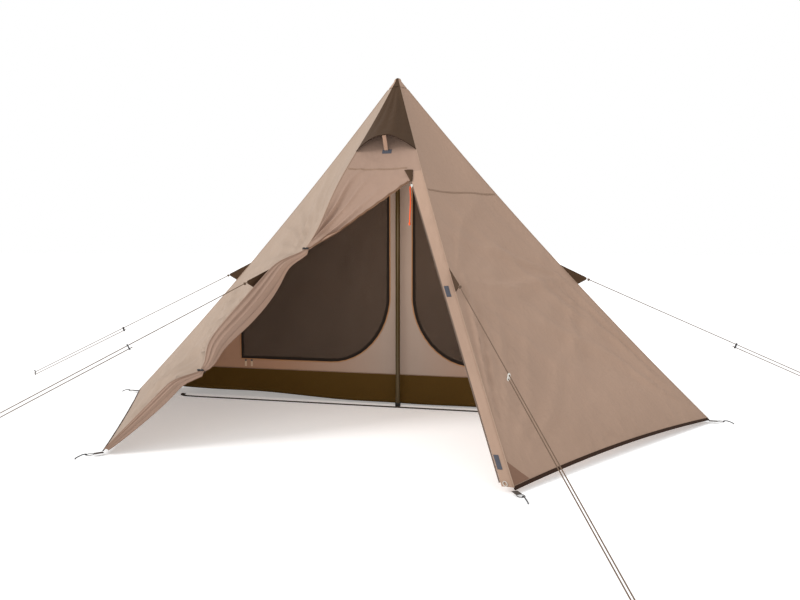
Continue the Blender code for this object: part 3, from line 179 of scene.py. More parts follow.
@dataclass(frozen=True)
class FlyShape:
    """Where the pitched fly's cloth lies. Shares run down a ridge from the apex, at 0, to the corner, at 1.

    Lengths are in metres and angles in degrees. A fan is a reach and the angle between two of its folds.
    """

    apex_height: float = 1.80
    corner_radius: float = 1.62
    corner_height: float = 0.022
    top_radius: float = 0.036
    ridge_sag: float = 0.045
    panel_sag: float = 0.020
    hem_cut: float = 0.026
    upper_toggle_height: float = 0.872
    lower_toggle_height: float = 0.335
    upper_pull: float = 0.095
    upper_reach: tuple[float, float] = (0.340, 0.070)
    gather_reach: float = 0.150
    lower_pull: float = 0.090
    lower_reach: tuple[float, float] = (0.110, 0.045)
    ridge_drag: float = 0.090
    roll_width: float = 0.115
    roll_height: float = 0.042
    tail_width: float = 0.062
    tail_height: float = 0.022
    cinched_width: float = 0.018
    cinched_height: float = 0.008
    roll_turn: float = 225.0
    fold_depth: float = 0.009
    fold_angle: float = 22.0
    fold_reach: float = 0.16
    pleat_angle: float = 8.2
    pleat_depth: float = 0.022
    fan_depth: float = 0.0165
    tab_fan: tuple[float, float] = (0.34, 24.0)
    corner_fan: tuple[float, float] = (0.52, 14.0)
    upper_toggle_fan: tuple[float, float] = (0.30, 9.5)
    lower_toggle_fan: tuple[float, float] = (0.26, 9.5)
    pucker_depth: float = 0.0060
    pucker_pitch: float = 0.052
    streak_depth: float = 0.0160
    streak_angle: float = 5.6
    streak_spread: float = 24.0
    slow_wave: float = 0.006
    quick_wave: float = 0.0022
    tab_height: float = 0.722
    tab_reach: float = 0.072
    zip_top_height: float = 1.262
    zip_bottom_height: float = 0.030
    door_corner_height: float = 1.214
    placket_top_width: float = 0.068
    placket_bottom_width: float = 0.046
    chain_width: float = 0.006
    hood_corner_height: float = 1.372
    hood_top_height: float = 1.748
    hood_arch: float = 0.045
    hood_standoff: float = 0.0032
    hood_bulge: float = 0.080
    vent_top_height: float = 1.622
    vent_bottom_height: float = 1.497

    @property
    def apex(self) -> Vector:
        """The point that every ridge starts from."""
        return UP * self.apex_height

    def tip(self, corner: Corner) -> Vector:
        """The fly's lowest point at a corner."""
        return corner.outward * self.corner_radius + UP * self.corner_height

    @property
    def ridge_length(self) -> float:
        """The straight length from the apex to a corner."""
        return (self.tip(Corner.RIGHT) - self.apex).length

    @property
    def door_side(self) -> Vector:
        """The level direction across the front, from left to right."""
        return (self.tip(Corner.FRONT_RIGHT) - self.tip(Corner.FRONT_LEFT)).normalized()

    def outward(self, corner: Corner, following: Corner) -> Vector:
        """The normal of the flat side between two corners, facing out of the tent."""
        normal = (self.tip(corner) - self.apex).cross(self.tip(following) - self.apex).normalized()
        return normal if normal.z > 0.0 else -normal

    @property
    def door_normal(self) -> Vector:
        """The normal of the front side."""
        return self.outward(Corner.FRONT_LEFT, Corner.FRONT_RIGHT)

    def share_at(self, height: float) -> float:
        """The share of a ridge at a height."""
        return (self.apex_height - height) / (self.apex_height - self.corner_height)

    @property
    def top(self) -> float:
        """The share at which the cloth starts, under the cap."""
        return self.top_radius / self.corner_radius

    @property
    def zip_top(self) -> float:
        """The share of the zip's upper end."""
        return self.share_at(self.zip_top_height)

    @property
    def door_corner(self) -> float:
        """The share at which the flap's edge leaves the zip."""
        return self.share_at(self.door_corner_height)

    @property
    def upper_toggle(self) -> float:
        """The share of the upper toggle."""
        return self.share_at(self.upper_toggle_height)

    @property
    def lower_toggle(self) -> float:
        """The share of the lower toggle."""
        return self.share_at(self.lower_toggle_height)

    def toggle_drag(self, share: float) -> float:
        """How far the tied flap drags the front left ridge towards the door.

        Args:
            share: the place on the ridge.

        Returns:
            The distance along the door's side, in metres.
        """
        drag = self.ridge_drag * bow(share)
        for toggle, pull, reach in (
            (self.upper_toggle, self.upper_pull, self.upper_reach),
            (self.lower_toggle, self.lower_pull, self.lower_reach),
        ):
            away = (share - toggle) * self.ridge_length / reach[0 if share < toggle else 1]
            drag += pull * math.exp(-away * away)
        return drag

    def ridge(self, corner: Corner, share: float) -> Vector:
        """A point of a ridge, which hangs a little under the straight line to its corner."""
        radius = self.corner_radius * share - self.ridge_sag * bow(share)
        point = corner.outward * radius + UP * mix(self.apex_height, self.corner_height, share)
        if corner is Corner.FRONT_LEFT:
            point += self.door_side * self.toggle_drag(share)
        return point

    def tab_tip(self, corner: Corner) -> Vector:
        """The tip of a corner's guy tab, which the guy line pulls on."""
        return self.ridge(corner, self.share_at(self.tab_height)) + corner.outward * self.tab_reach

    def panel(self, corner: Corner, following: Corner, down: float, across: float) -> Vector:
        """A point of a sewn side, with its sag and its tension folds.

        Args:
            corner: the corner at across 0.
            following: the corner at across 1.
            down: from the apex, 0, to the hem, 1.
            across: from one ridge, 0, to the other, 1.

        Returns:
            The point, in metres.
        """
        share = down * (1.0 - self.hem_cut / self.ridge_length * bow(across))
        flat = mix(self.ridge(corner, share), self.ridge(following, share), across)
        sag = self.panel_sag * bow(across) * math.sin(math.pi * down)
        inside = smooth_step(bow(across) * 2.2) * smooth_step((1.0 - down) * 12.0) * smooth_step((down - 0.04) * 8.0)
        folds = inside * (self.tension(flat) + self.fans(corner, following, flat))
        folds += smooth_step(bow(across) * 7.0) * self.streaks(corner, following, flat)
        return flat + self.outward(corner, following) * (folds - sag)

    def bearing(self, end: Corner, outward: Vector, away: Vector) -> float:
        """How far a way over a side turns from the ridge that it starts on.

        Args:
            end: the ridge's corner.
            outward: the side's normal.
            away: the way.

        Returns:
            The angle in degrees, 0 being straight up the ridge.
        """
        ridgeward = (self.apex - self.tip(end)).normalized()
        return math.degrees(math.atan2(abs(away.dot(ridgeward.cross(outward))), away.dot(ridgeward)))

    def streaks(self, corner: Corner, following: Corner, point: Vector) -> float:
        """The height of the tight folds that run from the hem corners up along the ridges."""
        outward = self.outward(corner, following)
        total = 0.0
        for end in (corner, following):
            away = point - self.ridge(end, 1.0)
            angle = self.bearing(end, outward, away)
            reach = smooth_step((away.length - 0.12) / 0.30) * smooth_step((1.25 - away.length) / 0.50)
            wander = noise.noise(point * 1.9 + Vector((end.value, 2.2, 6.1)))
            strength = max(0.75 + 1.1 * noise.noise(Vector((angle * 0.10, end.value, 7.7))), 0.1)
            fold = crest(2.0 * math.pi * (angle + 2.2 * wander) / self.streak_angle)
            total += fold * strength * reach * math.exp(-((angle / self.streak_spread) ** 2))
        return self.streak_depth * total

    def fans(self, corner: Corner, following: Corner, point: Vector) -> float:
        """The height of the folds that spread over a side from the ties and hem corners at its ridges."""
        outward = self.outward(corner, following)
        total = 0.0
        for end in (corner, following):
            sources = [(self.share_at(self.tab_height), *self.tab_fan), (1.0, *self.corner_fan)]
            if end is Corner.FRONT_LEFT:
                sources.append((self.upper_toggle, *self.upper_toggle_fan))
                sources.append((self.lower_toggle, *self.lower_toggle_fan))
            for number, (share, reach, between) in enumerate(sources):
                away = point - self.ridge(end, share)
                length = away.length / reach
                angle = self.bearing(end, outward, away)
                wander = noise.noise(point * 2.6 + Vector((end.value, 4.0 * number, 1.3)))
                strength = 0.55 + 0.9 * noise.noise(Vector((angle * 0.045, end.value, number + 0.4)))
                fold = crest(2.0 * math.pi * (angle + 7.0 * wander) / between)
                total += fold * strength * length * math.exp(1.0 - length)
        return self.fan_depth * total

    def tension(self, point: Vector) -> float:
        """The height of a side's slow waves."""
        slow = noise.noise(Vector((point.x * 1.9, point.y * 1.9, point.z * 1.1)) + Vector((3.1, 0.7, 5.3)))
        quick = noise.noise(Vector((point.x * 5.5, point.y * 5.5, point.z * 2.0)) + Vector((9.2, 1.4, 2.2)))
        return self.slow_wave * slow + self.quick_wave * quick

    def front(self, share: float, across: float) -> Vector:
        """A point of the front side as it would hang with no door cut into it."""
        flat = mix(self.ridge(Corner.FRONT_LEFT, share), self.ridge(Corner.FRONT_RIGHT, share), across)
        return flat - self.door_normal * self.panel_sag * bow(across) * math.sin(math.pi * share)

    @property
    def zip_across(self) -> float:
        """Where the zip's upper end lies across the front side."""
        wide = self.ridge(Corner.FRONT_RIGHT, self.zip_top) - self.ridge(Corner.FRONT_LEFT, self.zip_top)
        return 1.0 - self.placket_top_width / wide.dot(self.door_side)

    def zip_line(self, share: float) -> Vector:
        """A point of the zip, which is one straight line down to the front right corner."""
        bottom = self.share_at(self.zip_bottom_height)
        start = self.front(self.zip_top, self.zip_across)
        end = self.ridge(Corner.FRONT_RIGHT, bottom) - self.door_side * self.placket_bottom_width
        return mix(start, end, (share - self.zip_top) / (bottom - self.zip_top))

    @property
    def zip_direction(self) -> Vector:
        """The direction down the zip."""
        return (self.zip_line(1.0) - self.zip_line(self.zip_top)).normalized()

    def roll_size(self, share: float) -> tuple[float, float]:
        """Width and height of the gathered flap's section: cinched at the toggles and fuller between them."""
        wide, high, cinched = self.roll_width, self.roll_height, (self.cinched_width, self.cinched_height)
        if share <= self.lower_toggle:
            between = (share - self.upper_toggle) / (self.lower_toggle - self.upper_toggle)
            fullness = max(math.sin(math.pi * between), 0.0) ** 0.75
        else:
            below = min((share - self.lower_toggle) / (1.0 - self.lower_toggle), 1.0)
            fullness = max(math.sin(math.pi * below**0.6), 0.0) ** 0.8
            wide, high = self.tail_width, self.tail_height
        return mix(cinched[0], wide, fullness), mix(cinched[1], high, fullness)

    def door_edge(self, share: float) -> Vector:
        """The flap's free edge: beside the zip for a short way, then straight to the upper toggle."""
        beside = self.door_side * (self.chain_width + 0.0012)
        if share <= self.door_corner:
            return self.zip_line(share) - beside
        start = self.zip_line(self.door_corner) - beside
        end = self.ridge(Corner.FRONT_LEFT, self.upper_toggle) + self.door_side * self.cinched_width
        return mix(start, end, (share - self.door_corner) / (self.upper_toggle - self.door_corner))

    def radiating_fold(self, point: Vector, share: float, across: float) -> float:
        """The height of the folds that fan out from the upper toggle.

        Args:
            point: the place on the unfolded cloth.
            share: its share down the ridge.
            across: its share across the cloth.

        Returns:
            The distance out of the front side, in metres.
        """
        away = point - self.ridge(Corner.FRONT_LEFT, self.upper_toggle)
        sideways = away.dot(self.door_side)
        upward = away.dot((self.apex - self.tip(Corner.FRONT_LEFT)).normalized())
        near = math.hypot(sideways, upward) / self.fold_reach
        angle = math.degrees(math.atan2(sideways, max(upward, 1e-6)))
        height = mix(self.apex_height, self.corner_height, share)
        below_hood = smooth_step((self.hood_corner_height - height) / self.fold_reach)
        swell = near * math.exp(1.0 - near) * smooth_step(across / 0.16) * below_hood
        coarse = 0.4 + math.sin(2.0 * math.pi * angle / self.fold_angle)
        wander = noise.noise(point * 5.0 + Vector((0.0, 2.7, 6.1)))
        fine = crest(2.0 * math.pi * (angle + 4.0 * wander) / self.pleat_angle)
        strength = max(1.0 + 1.1 * noise.noise(Vector((angle * 0.11, near * 0.5, 3.7))), 0.2)
        return swell * (self.fold_depth * coarse + self.pleat_depth * fine * strength)

    def rolled_flap(self, share: float, across: float, width: float, height: float) -> Vector:
        """A point of the gathered flap, which curls from the ridge over to its tucked free edge."""
        turn = math.radians(self.roll_turn) * across
        rise = smooth_step(3.0 * across)
        drift = noise.noise(Vector((share * 9.0, across * 2.0, 4.4)))
        pleats = 0.119 * math.sin(3.0 * turn + 1.1 * drift) + 0.30 * crest(9.0 * turn + 6.0 * share + 2.0 * drift)
        outwards = height * (math.sin(turn) + pleats * rise)
        sideways = width * (0.5 * (1.0 - math.cos(turn)) + 0.035 * drift * rise)
        return self.ridge(Corner.FRONT_LEFT, share) + self.door_side * sideways + self.door_normal * outwards

    def flap(self, share: float, across: float) -> Vector:
        """A point of the tied-back door flap, from the zip's top down to the corner."""
        if share >= self.upper_toggle:
            return self.rolled_flap(share, across, *self.roll_size(share))
        spread = mix(self.ridge(Corner.FRONT_LEFT, share), self.door_edge(share), across)
        sag = self.panel_sag * bow(across) * math.sin(math.pi * share)
        fold = self.radiating_fold(spread, share, across)
        turn = 2.0 * math.pi * share * self.ridge_length / self.pucker_pitch + 3.0 * noise.noise(spread * 6.0)
        pucker = self.pucker_depth * crest(turn) * smooth_step((across - 0.80) / 0.20)
        spread = spread + self.door_normal * (fold + pucker - sag)
        gathered = smooth_step(1.0 - (self.upper_toggle - share) * self.ridge_length / self.gather_reach)
        width = (self.door_edge(share) - self.ridge(Corner.FRONT_LEFT, share)).dot(self.door_side)
        return mix(spread, self.rolled_flap(share, across, width, self.cinched_height), gathered)

    def front_folded(self, share: float, across: float) -> Vector:
        """A point of the closed upper front, with the ends of the flap's folds."""
        point = self.front(share, across)
        fading = smooth_step((1.0 - across) / 0.3)
        return point + self.door_normal * self.radiating_fold(point, share, across) * fading

    def front_zone(self, share: float, across: float) -> Vector:
        """A point of the cloth left of the zip: whole above the zip's top, and the tied flap below it."""
        whole = self.front_folded(share, across * self.zip_across)
        if share <= self.zip_top:
            return whole
        wide = (self.ridge(Corner.FRONT_RIGHT, share) - self.ridge(Corner.FRONT_LEFT, share)).dot(self.door_side)
        edge = (self.door_edge(share) - self.ridge(Corner.FRONT_LEFT, share)).dot(self.door_side) / wide
        whole = self.front_folded(share, across * edge)
        freed = max(smooth_step((share - self.zip_top) / 0.04), smooth_step((across - 0.7) / 0.3))
        return mix(whole, self.flap(share, across), freed)

    def placket(self, share: float, across: float) -> Vector:
        """A point of the narrow cloth between the zip and the front right ridge."""
        whole = self.front_folded(min(share, self.zip_top), mix(self.zip_across, 1.0, across))
        if share <= self.zip_top:
            return whole
        plain = mix(self.zip_line(share), self.ridge(Corner.FRONT_RIGHT, share), across)
        joined = self.front_folded(share, mix(self.zip_across, 1.0, across))
        return mix(joined, plain, max(smooth_step((share - self.zip_top) / 0.03), smooth_step(1.0 - across * 3.0)))

    def front_at(self, height: float, sideways: float) -> Vector:
        """The point of the whole front side at a height and an X."""
        share = self.share_at(height)
        left, right = self.ridge(Corner.FRONT_LEFT, share), self.ridge(Corner.FRONT_RIGHT, share)
        return self.front(share, (sideways - left.x) / (right.x - left.x))

    def hood(self, down: float, across: float) -> Vector:
        """A point of the vent's hood, which stands off the front side towards its arched lip."""
        lowest = self.share_at(self.hood_corner_height) - self.hood_arch / self.ridge_length * bow(across)
        share = mix(self.share_at(self.hood_top_height), lowest, down)
        lift = self.hood_standoff + self.hood_bulge * down**1.5 * bow(across)
        return self.front(share, across) + self.door_normal * lift


SHAPE = FlyShape()


# Finishes


def linear(colour: str) -> tuple[float, float, float, float]:
    """Turns a hex colour as seen on a screen into the linear values that a shader takes.

    Args:
        colour: six hex digits.

    Returns:
        Red, green, blue and an alpha of 1.
    """
    channels = [int(colour[place : place + 2], 16) / 255.0 for place in (0, 2, 4)]
    values = [c / 12.92 if c <= 0.04045 else ((c + 0.055) / 1.055) ** 2.4 for c in channels]
    return values[0], values[1], values[2], 1.0


class Graph:
    """Adds nodes to one node tree and joins them."""

    def __init__(self, tree: bpy.types.NodeTree) -> None:
        """Keeps the tree that the nodes go into."""
        self.tree = tree

    def feed(self, node: bpy.types.Node, inputs: dict) -> None:
        """Fills a node's sockets.

        Args:
            node: the node.
            inputs: sockets by name or number, each with a value or with the socket that feeds it.
        """
        for name, value in inputs.items():
            if isinstance(value, bpy.types.NodeSocket):
                self.tree.links.new(value, node.inputs[name])
            else:
                node.inputs[name].default_value = value

    def add(self, kind: str, inputs: Optional[dict] = None, **settings) -> bpy.types.Node:
        """Adds one node.

        Args:
            kind: the node's type.
            inputs: what fills its sockets.
            settings: the node's own properties.

        Returns:
            The new node.
        """
        node = self.tree.nodes.new(kind)
        for name, value in settings.items():
            setattr(node, name, value)
        self.feed(node, inputs or {})
        return node

    def use(self, group: bpy.types.NodeTree, **inputs) -> bpy.types.Node:
        """Adds a shared group."""
        return self.add("ShaderNodeGroup", inputs, node_tree=group)

    def math(self, operation: str, *values) -> bpy.types.NodeSocket:
        """The result of one sum on numbers or sockets."""
        return self.add("ShaderNodeMath", dict(enumerate(values)), operation=operation).outputs[0]

    def part(self, vector: bpy.types.NodeSocket, axis: int) -> bpy.types.NodeSocket:
        """One of a vector's three numbers."""
        return self.add("ShaderNodeSeparateXYZ", {0: vector}).outputs[axis]

    def spread(self, value: bpy.types.NodeSocket, *bounds: float) -> bpy.types.NodeSocket:
        """A number moved from the range of the first two bounds to that of the last two, and held there."""
        return self.add("ShaderNodeMapRange", dict(enumerate((value, *bounds)))).outputs[0]

    def blend(self, share, first, second) -> bpy.types.NodeSocket:
        """A colour between two colours."""
        inputs = {"Factor": share, 6: first, 7: second}
        return self.add("ShaderNodeMix", inputs, data_type="RGBA").outputs[2]

    def noise(self, vector, scale: float, detail: float = 2.0) -> bpy.types.NodeSocket:
        """A noise between 0 and 1."""
        inputs = {"Vector": vector, "Scale": scale, "Detail": detail}
        return self.add("ShaderNodeTexNoise", inputs).outputs[0]

    def bump(self, height: bpy.types.NodeSocket) -> bpy.types.NodeSocket:
        """The normal that a height in metres gives."""
        return self.add("ShaderNodeBump", {"Height": height, "Distance": 1.0, "Strength": 1.0}).outputs[0]


def new_group(name: str, inputs: dict[str, str], outputs: Sequence[str]) -> tuple[bpy.types.NodeTree, Graph]:
    """Starts a shader node group.

    Args:
        name: the group's name.
        inputs: the type of each input socket by its name.
        outputs: the names of its number outputs.

    Returns:
        The group and the graph that fills it.
    """
    group = bpy.data.node_groups.new(name, "ShaderNodeTree")
    for label, kind in inputs.items():
        group.interface.new_socket(label, in_out="INPUT", socket_type="NodeSocket" + kind)
    for label in outputs:
        group.interface.new_socket(label, in_out="OUTPUT", socket_type="NodeSocketFloat")
    return group, Graph(group)


@dataclass(frozen=True)
class Patterns:
    """The measures of the shared patterns. Lengths are in metres, and scales in spots for each metre."""

    crease_stretch: float = 0.42
    crease_scale: float = 6.5
    ripple_scale: float = 17.0
    patch_scale: float = 2.3
    crease_share: float = 0.55
    stitch_pitch: float = 0.0042
    stitch_share: float = 0.68
    thread_radius: float = 0.0005
    stitch_depth: float = 0.0003

    def woven(self) -> bpy.types.NodeTree:
        """Crossing threads: Threads runs from 0 in the gaps to 1 on the crowns."""
        group, graph = new_group("woven_threads", {"Vector": "Vector", "Pitch": "Float"}, ["Threads"])
        source = graph.add("NodeGroupInput")
        parts = graph.add("ShaderNodeSeparateXYZ", {0: source.outputs["Vector"]})
        turn = graph.math("DIVIDE", 2.0 * math.pi, source.outputs["Pitch"])
        waves = [graph.math("SINE", graph.math("MULTIPLY", parts.outputs[axis], turn)) for axis in (0, 1)]
        crossing = graph.math("MULTIPLY", waves[0], waves[1])
        graph.add("NodeGroupOutput", {"Threads": graph.math("MULTIPLY_ADD", crossing, 0.5, 0.5)})
        return group

    def crumple(self) -> bpy.types.NodeTree:
        """Soft creases: Creases is their height from 0 to 1, and Patches a slow change of shade."""
        group, graph = new_group("packed_creases", {"Vector": "Vector"}, ["Creases", "Patches"])
        source = graph.add("NodeGroupInput")
        inputs = {"Vector": source.outputs["Vector"], "Scale": (1.0, 1.0, self.crease_stretch)}
        place = graph.add("ShaderNodeMapping", inputs).outputs[0]
        ridges = graph.math("ABSOLUTE", graph.math("SUBTRACT", graph.noise(place, self.crease_scale, 3.0), 0.5))
        sharp = graph.math("SUBTRACT", 1.0, graph.math("MULTIPLY", ridges, 2.0))
        soft = graph.noise(place, self.ripple_scale, 3.0)
        sharp = graph.math("MULTIPLY", sharp, self.crease_share)
        creases = graph.math("ADD", sharp, graph.math("MULTIPLY", soft, 1.0 - self.crease_share))
        patches = graph.noise(place, self.patch_scale, 4.0)
        graph.add("NodeGroupOutput", {"Creases": creases, "Patches": patches})
        return group

    def stitch(self) -> bpy.types.NodeTree:
        """Two rows of stitches along a strip, whose UV is in metres: Stitches is 1 on the thread."""
        sockets = {"Vector": "Vector", "Pitch": "Float", "Offset": "Float"}
        group, graph = new_group("stitch_rows", sockets, ["Stitches"])
        source = graph.add("NodeGroupInput")
        parts = graph.add("ShaderNodeSeparateXYZ", {0: source.outputs["Vector"]})
        along = graph.math("FRACT", graph.math("DIVIDE", parts.outputs[0], source.outputs["Pitch"]))
        sewn = graph.math("LESS_THAN", along, self.stitch_share)
        across = graph.math("ABSOLUTE", parts.outputs[1])
        away = graph.math("ABSOLUTE", graph.math("SUBTRACT", across, source.outputs["Offset"]))
        thread = graph.math("LESS_THAN", away, self.thread_radius)
        graph.add("NodeGroupOutput", {"Stitches": graph.math("MULTIPLY", sewn, thread)})
        return group


PATTERNS = Patterns()
Groups = dict[str, bpy.types.NodeTree]


@dataclass(frozen=True)
class Finish:
    """What every finish has: its name and its colour as seen on a screen."""

    name: str
    colour: str

    def material(self, groups: Groups) -> bpy.types.Material:
        """Makes the material.

        Args:
            groups: the shared node groups by name.

        Returns:
            The finished material.
        """
        material = bpy.data.materials.new(self.name)
        material.use_nodes = True
        graph = Graph(material.node_tree)
        graph.feed(material.node_tree.nodes["Principled BSDF"], self.look(graph, groups))
        return material

    def look(self, graph: Graph, groups: Groups) -> dict:
        """What fills the shader's sockets, by their names."""
        raise NotImplementedError

    def tint(self, factor: float) -> tuple[float, ...]:
        """The colour made darker or lighter by a factor."""
        return tuple(min(c * factor, 1.0) for c in linear(self.colour)[:3]) + (1.0,)


@dataclass(frozen=True)
class Cloth(Finish):
    """How one cloth or webbing looks. Lengths are in metres.

    pitch and relief are those of its threads, crease is the height of its creases, and change says how
    much its shade wanders. Its side colour is painted light: a warmer colour towards its left and right
    ends that stands in for the light through the fly. soiled darkens it near the ground, stitched is how
    far its two rows of stitches lie from its middle, and flat_map lays its threads along the UV map.
    """

    pitch: float = 0.0011
    relief: float = 0.00005
    crease: float = 0.0016
    roughness: float = 0.85
    sheen: float = 0.04
    change: float = 0.07
    aside: Optional[str] = None
    soiled: bool = False
    stitched: float = 0.0
    flat_map: bool = True

    def look(self, graph: Graph, groups: Groups) -> dict:
        """What fills the shader's sockets, by their names."""
        place = graph.add("ShaderNodeTexCoord")
        body = place.outputs["Object"]
        flat = place.outputs["UV" if self.flat_map else "Object"]
        threads = graph.use(groups["woven"], Vector=flat, Pitch=self.pitch).outputs["Threads"]
        creases = graph.use(groups["crumple"], Vector=body)
        darker, lighter = self.tint(1.0 - 2.2 * self.change), self.tint(1.0 + self.change)
        shade = graph.blend(creases.outputs["Patches"], darker, lighter)
        # Painted light: towards the left and right ends the colour turns warmer and stands in for the light through
        # the fly.
        if self.aside:
            away = graph.math("ABSOLUTE", graph.part(body, 0))
            shade = graph.blend(graph.spread(away, 0.10, 0.72, 0.0, 0.95), shade, linear(self.aside))
        # Painted shade: the colour turns darker in the gaps between the threads, where shade falls.
        gaps = graph.math("MULTIPLY", graph.math("SUBTRACT", 1.0, threads), 0.16)
        shade = graph.blend(gaps, shade, self.tint(0.45))
        if self.soiled:
            low = graph.spread(graph.part(body, 2), 0.20, 0.0, 0.0, 0.30)
            dirt = graph.math("MULTIPLY", low, graph.noise(body, 11.0, 5.0))
            shade = graph.blend(dirt, shade, linear("6B5540"))
        relief = graph.math("MULTIPLY", threads, self.relief)
        relief = graph.math("MULTIPLY_ADD", creases.outputs["Creases"], self.crease, relief)
        if self.stitched:
            inputs = {"Vector": place.outputs["UV"], "Pitch": PATTERNS.stitch_pitch, "Offset": self.stitched}
            rows = graph.use(groups["stitch"], **inputs).outputs["Stitches"]
            shade = graph.blend(rows, shade, self.tint(0.55))
            relief = graph.math("MULTIPLY_ADD", rows, -PATTERNS.stitch_depth, relief)
        inputs = {"Base Color": shade, "Normal": graph.bump(relief), "Roughness": self.roughness}
        return inputs | {"Sheen Weight": self.sheen, "Specular IOR Level": 0.15}


@dataclass(frozen=True)
class Netting(Finish):
    """Insect netting: threads with open holes between them, seen as a veil.

    cover is the mean share of light that it stops, and pitch the distance between its threads.
    """

    cover: float
    pitch: float = 0.0016

    def look(self, graph: Graph, groups: Groups) -> dict:
        """What fills the shader's sockets, by their names."""
        place = graph.add("ShaderNodeTexCoord")
        body = place.outputs["Object"]
        threads = graph.use(groups["woven"], Vector=place.outputs["UV"], Pitch=self.pitch).outputs["Threads"]
        cloudy = graph.noise(body, 3.1, 3.0)
        open_share = graph.math("MULTIPLY_ADD", threads, 0.30, self.cover - 0.15)
        alpha = graph.math("MULTIPLY_ADD", cloudy, 0.08, graph.math("SUBTRACT", open_share, 0.04))
        shade = graph.blend(cloudy, self.tint(0.82), linear(self.colour))
        relief = graph.math("MULTIPLY", graph.noise(body, 9.0, 3.0), 0.002)
        return {"Base Color": shade, "Alpha": alpha, "Normal": graph.bump(relief), "Roughness": 0.85}


@dataclass(frozen=True)
class Hard(Finish):
    """How a rigid piece looks. grain is the height of its fine grain, and worn the colour of its scuffs."""

    roughness: float = 0.45
    metallic: float = 0.0
    coat: float = 0.0
    grain: float = 0.00006
    worn: str = "8A8A88"

    def look(self, graph: Graph, groups: Groups) -> dict:
        """What fills the shader's sockets, by their names."""
        place = graph.add("ShaderNodeTexCoord").outputs["Object"]
        creases = graph.use(groups["crumple"], Vector=place)
        fine = graph.noise(place, 420.0, 3.0)
        scuffs = graph.math("GREATER_THAN", graph.noise(place, 95.0, 6.0), 0.66)
        shade = graph.blend(creases.outputs["Patches"], self.tint(0.86), linear(self.colour))
        shade = graph.blend(graph.math("MULTIPLY", scuffs, 0.25), shade, linear(self.worn))
        rough = graph.math("MULTIPLY_ADD", fine, 0.16, self.roughness - 0.08)
        rough = graph.math("MULTIPLY_ADD", scuffs, 0.10, rough)
        normal = graph.bump(graph.math("MULTIPLY", fine, self.grain))
        inputs = {"Base Color": shade, "Roughness": rough, "Normal": normal}
        return inputs | {"Metallic": self.metallic, "Coat Weight": self.coat}


WEBBING = {"pitch": 0.0018, "relief": 0.00016, "crease": 0.0002}
CORD = {"relief": 0.0002, "crease": 0.0, "flat_map": False}
FINISHES = (
    # The fly is one cloth. These three copies are tinted lighter or darker, side by side, for how the light falls on
    # the left, door and right sides: painted shade.
    Cloth("fly_cloth_left", "B29D8C", crease=0.011, soiled=True),
    Cloth("fly_cloth_door", "AB8F7E", crease=0.011, soiled=True),
    Cloth("fly_cloth_right", "B79985", crease=0.011, soiled=True),
    Cloth("brown_cloth", "4F3B2A", crease=0.0070),
    Cloth("seam_tape", "A0846F", crease=0.0004, stitched=0.0035),
    Cloth("hem_tape", "3A261A", crease=0.0004, sheen=0.01, stitched=0.0035),
    Cloth("piping_cord", "B49A86", crease=0.0003, flat_map=False),
    Cloth("edge_band", "7C5F4B", crease=0.0004, flat_map=False),
    # Its warmer ends are painted light: the light through the fly.
    Cloth("inner_cloth", "BDAA9D", crease=0.0080, aside="BF9478"),
    Cloth("inner_tan_cloth", "A07A60", crease=0.0080),
    Cloth("inner_piping", "C8966A", crease=0.0002, flat_map=False),
    Cloth("door_band", "2C241E", crease=0.0004),
    Cloth("floor_cloth", "5A4113", crease=0.0090, roughness=0.70, sheen=0.01),
    Cloth("tan_webbing", "BC9A84", **WEBBING),
    Cloth("pull_webbing", "E2C8AA", **WEBBING),
    Cloth("grey_webbing", "544B44", **WEBBING),
    Cloth("hook_patch", "5B5D66", pitch=0.0012, relief=0.0004, crease=0.0002),
    Cloth("corner_patch", "8C6B58", crease=0.0006),
    Cloth("guy_rope", "75604F", pitch=0.0028, **CORD),
    Cloth("pull_cord", "E2582A", pitch=0.0028, **CORD),
    Cloth("elastic_cord", "2A2624", pitch=0.0022, **CORD),
    Cloth("white_cord", "D8D3CB", pitch=0.0022, **CORD),
    Netting("door_netting", "625144", cover=0.72),
    Netting("vent_netting", "2E2620", cover=0.90),
    Hard("pole_paint", "503F17", roughness=0.38, metallic=0.3, coat=0.2),
    Hard("zip_chain", "6A5546", roughness=0.55, worn="8C7868"),
    Hard("black_plastic", "1C1C1D", roughness=0.5, worn="55534F"),
    Hard("white_plastic", "D9D6CE", roughness=0.42, worn="B8B2A6"),
    Hard("steel", "6C6A68", roughness=0.45, metallic=0.8, worn="8E8B86"),
    Hard("dark_steel", "4A4A4D", roughness=0.42, metallic=0.9, worn="8B8781"),
)


# Making pieces


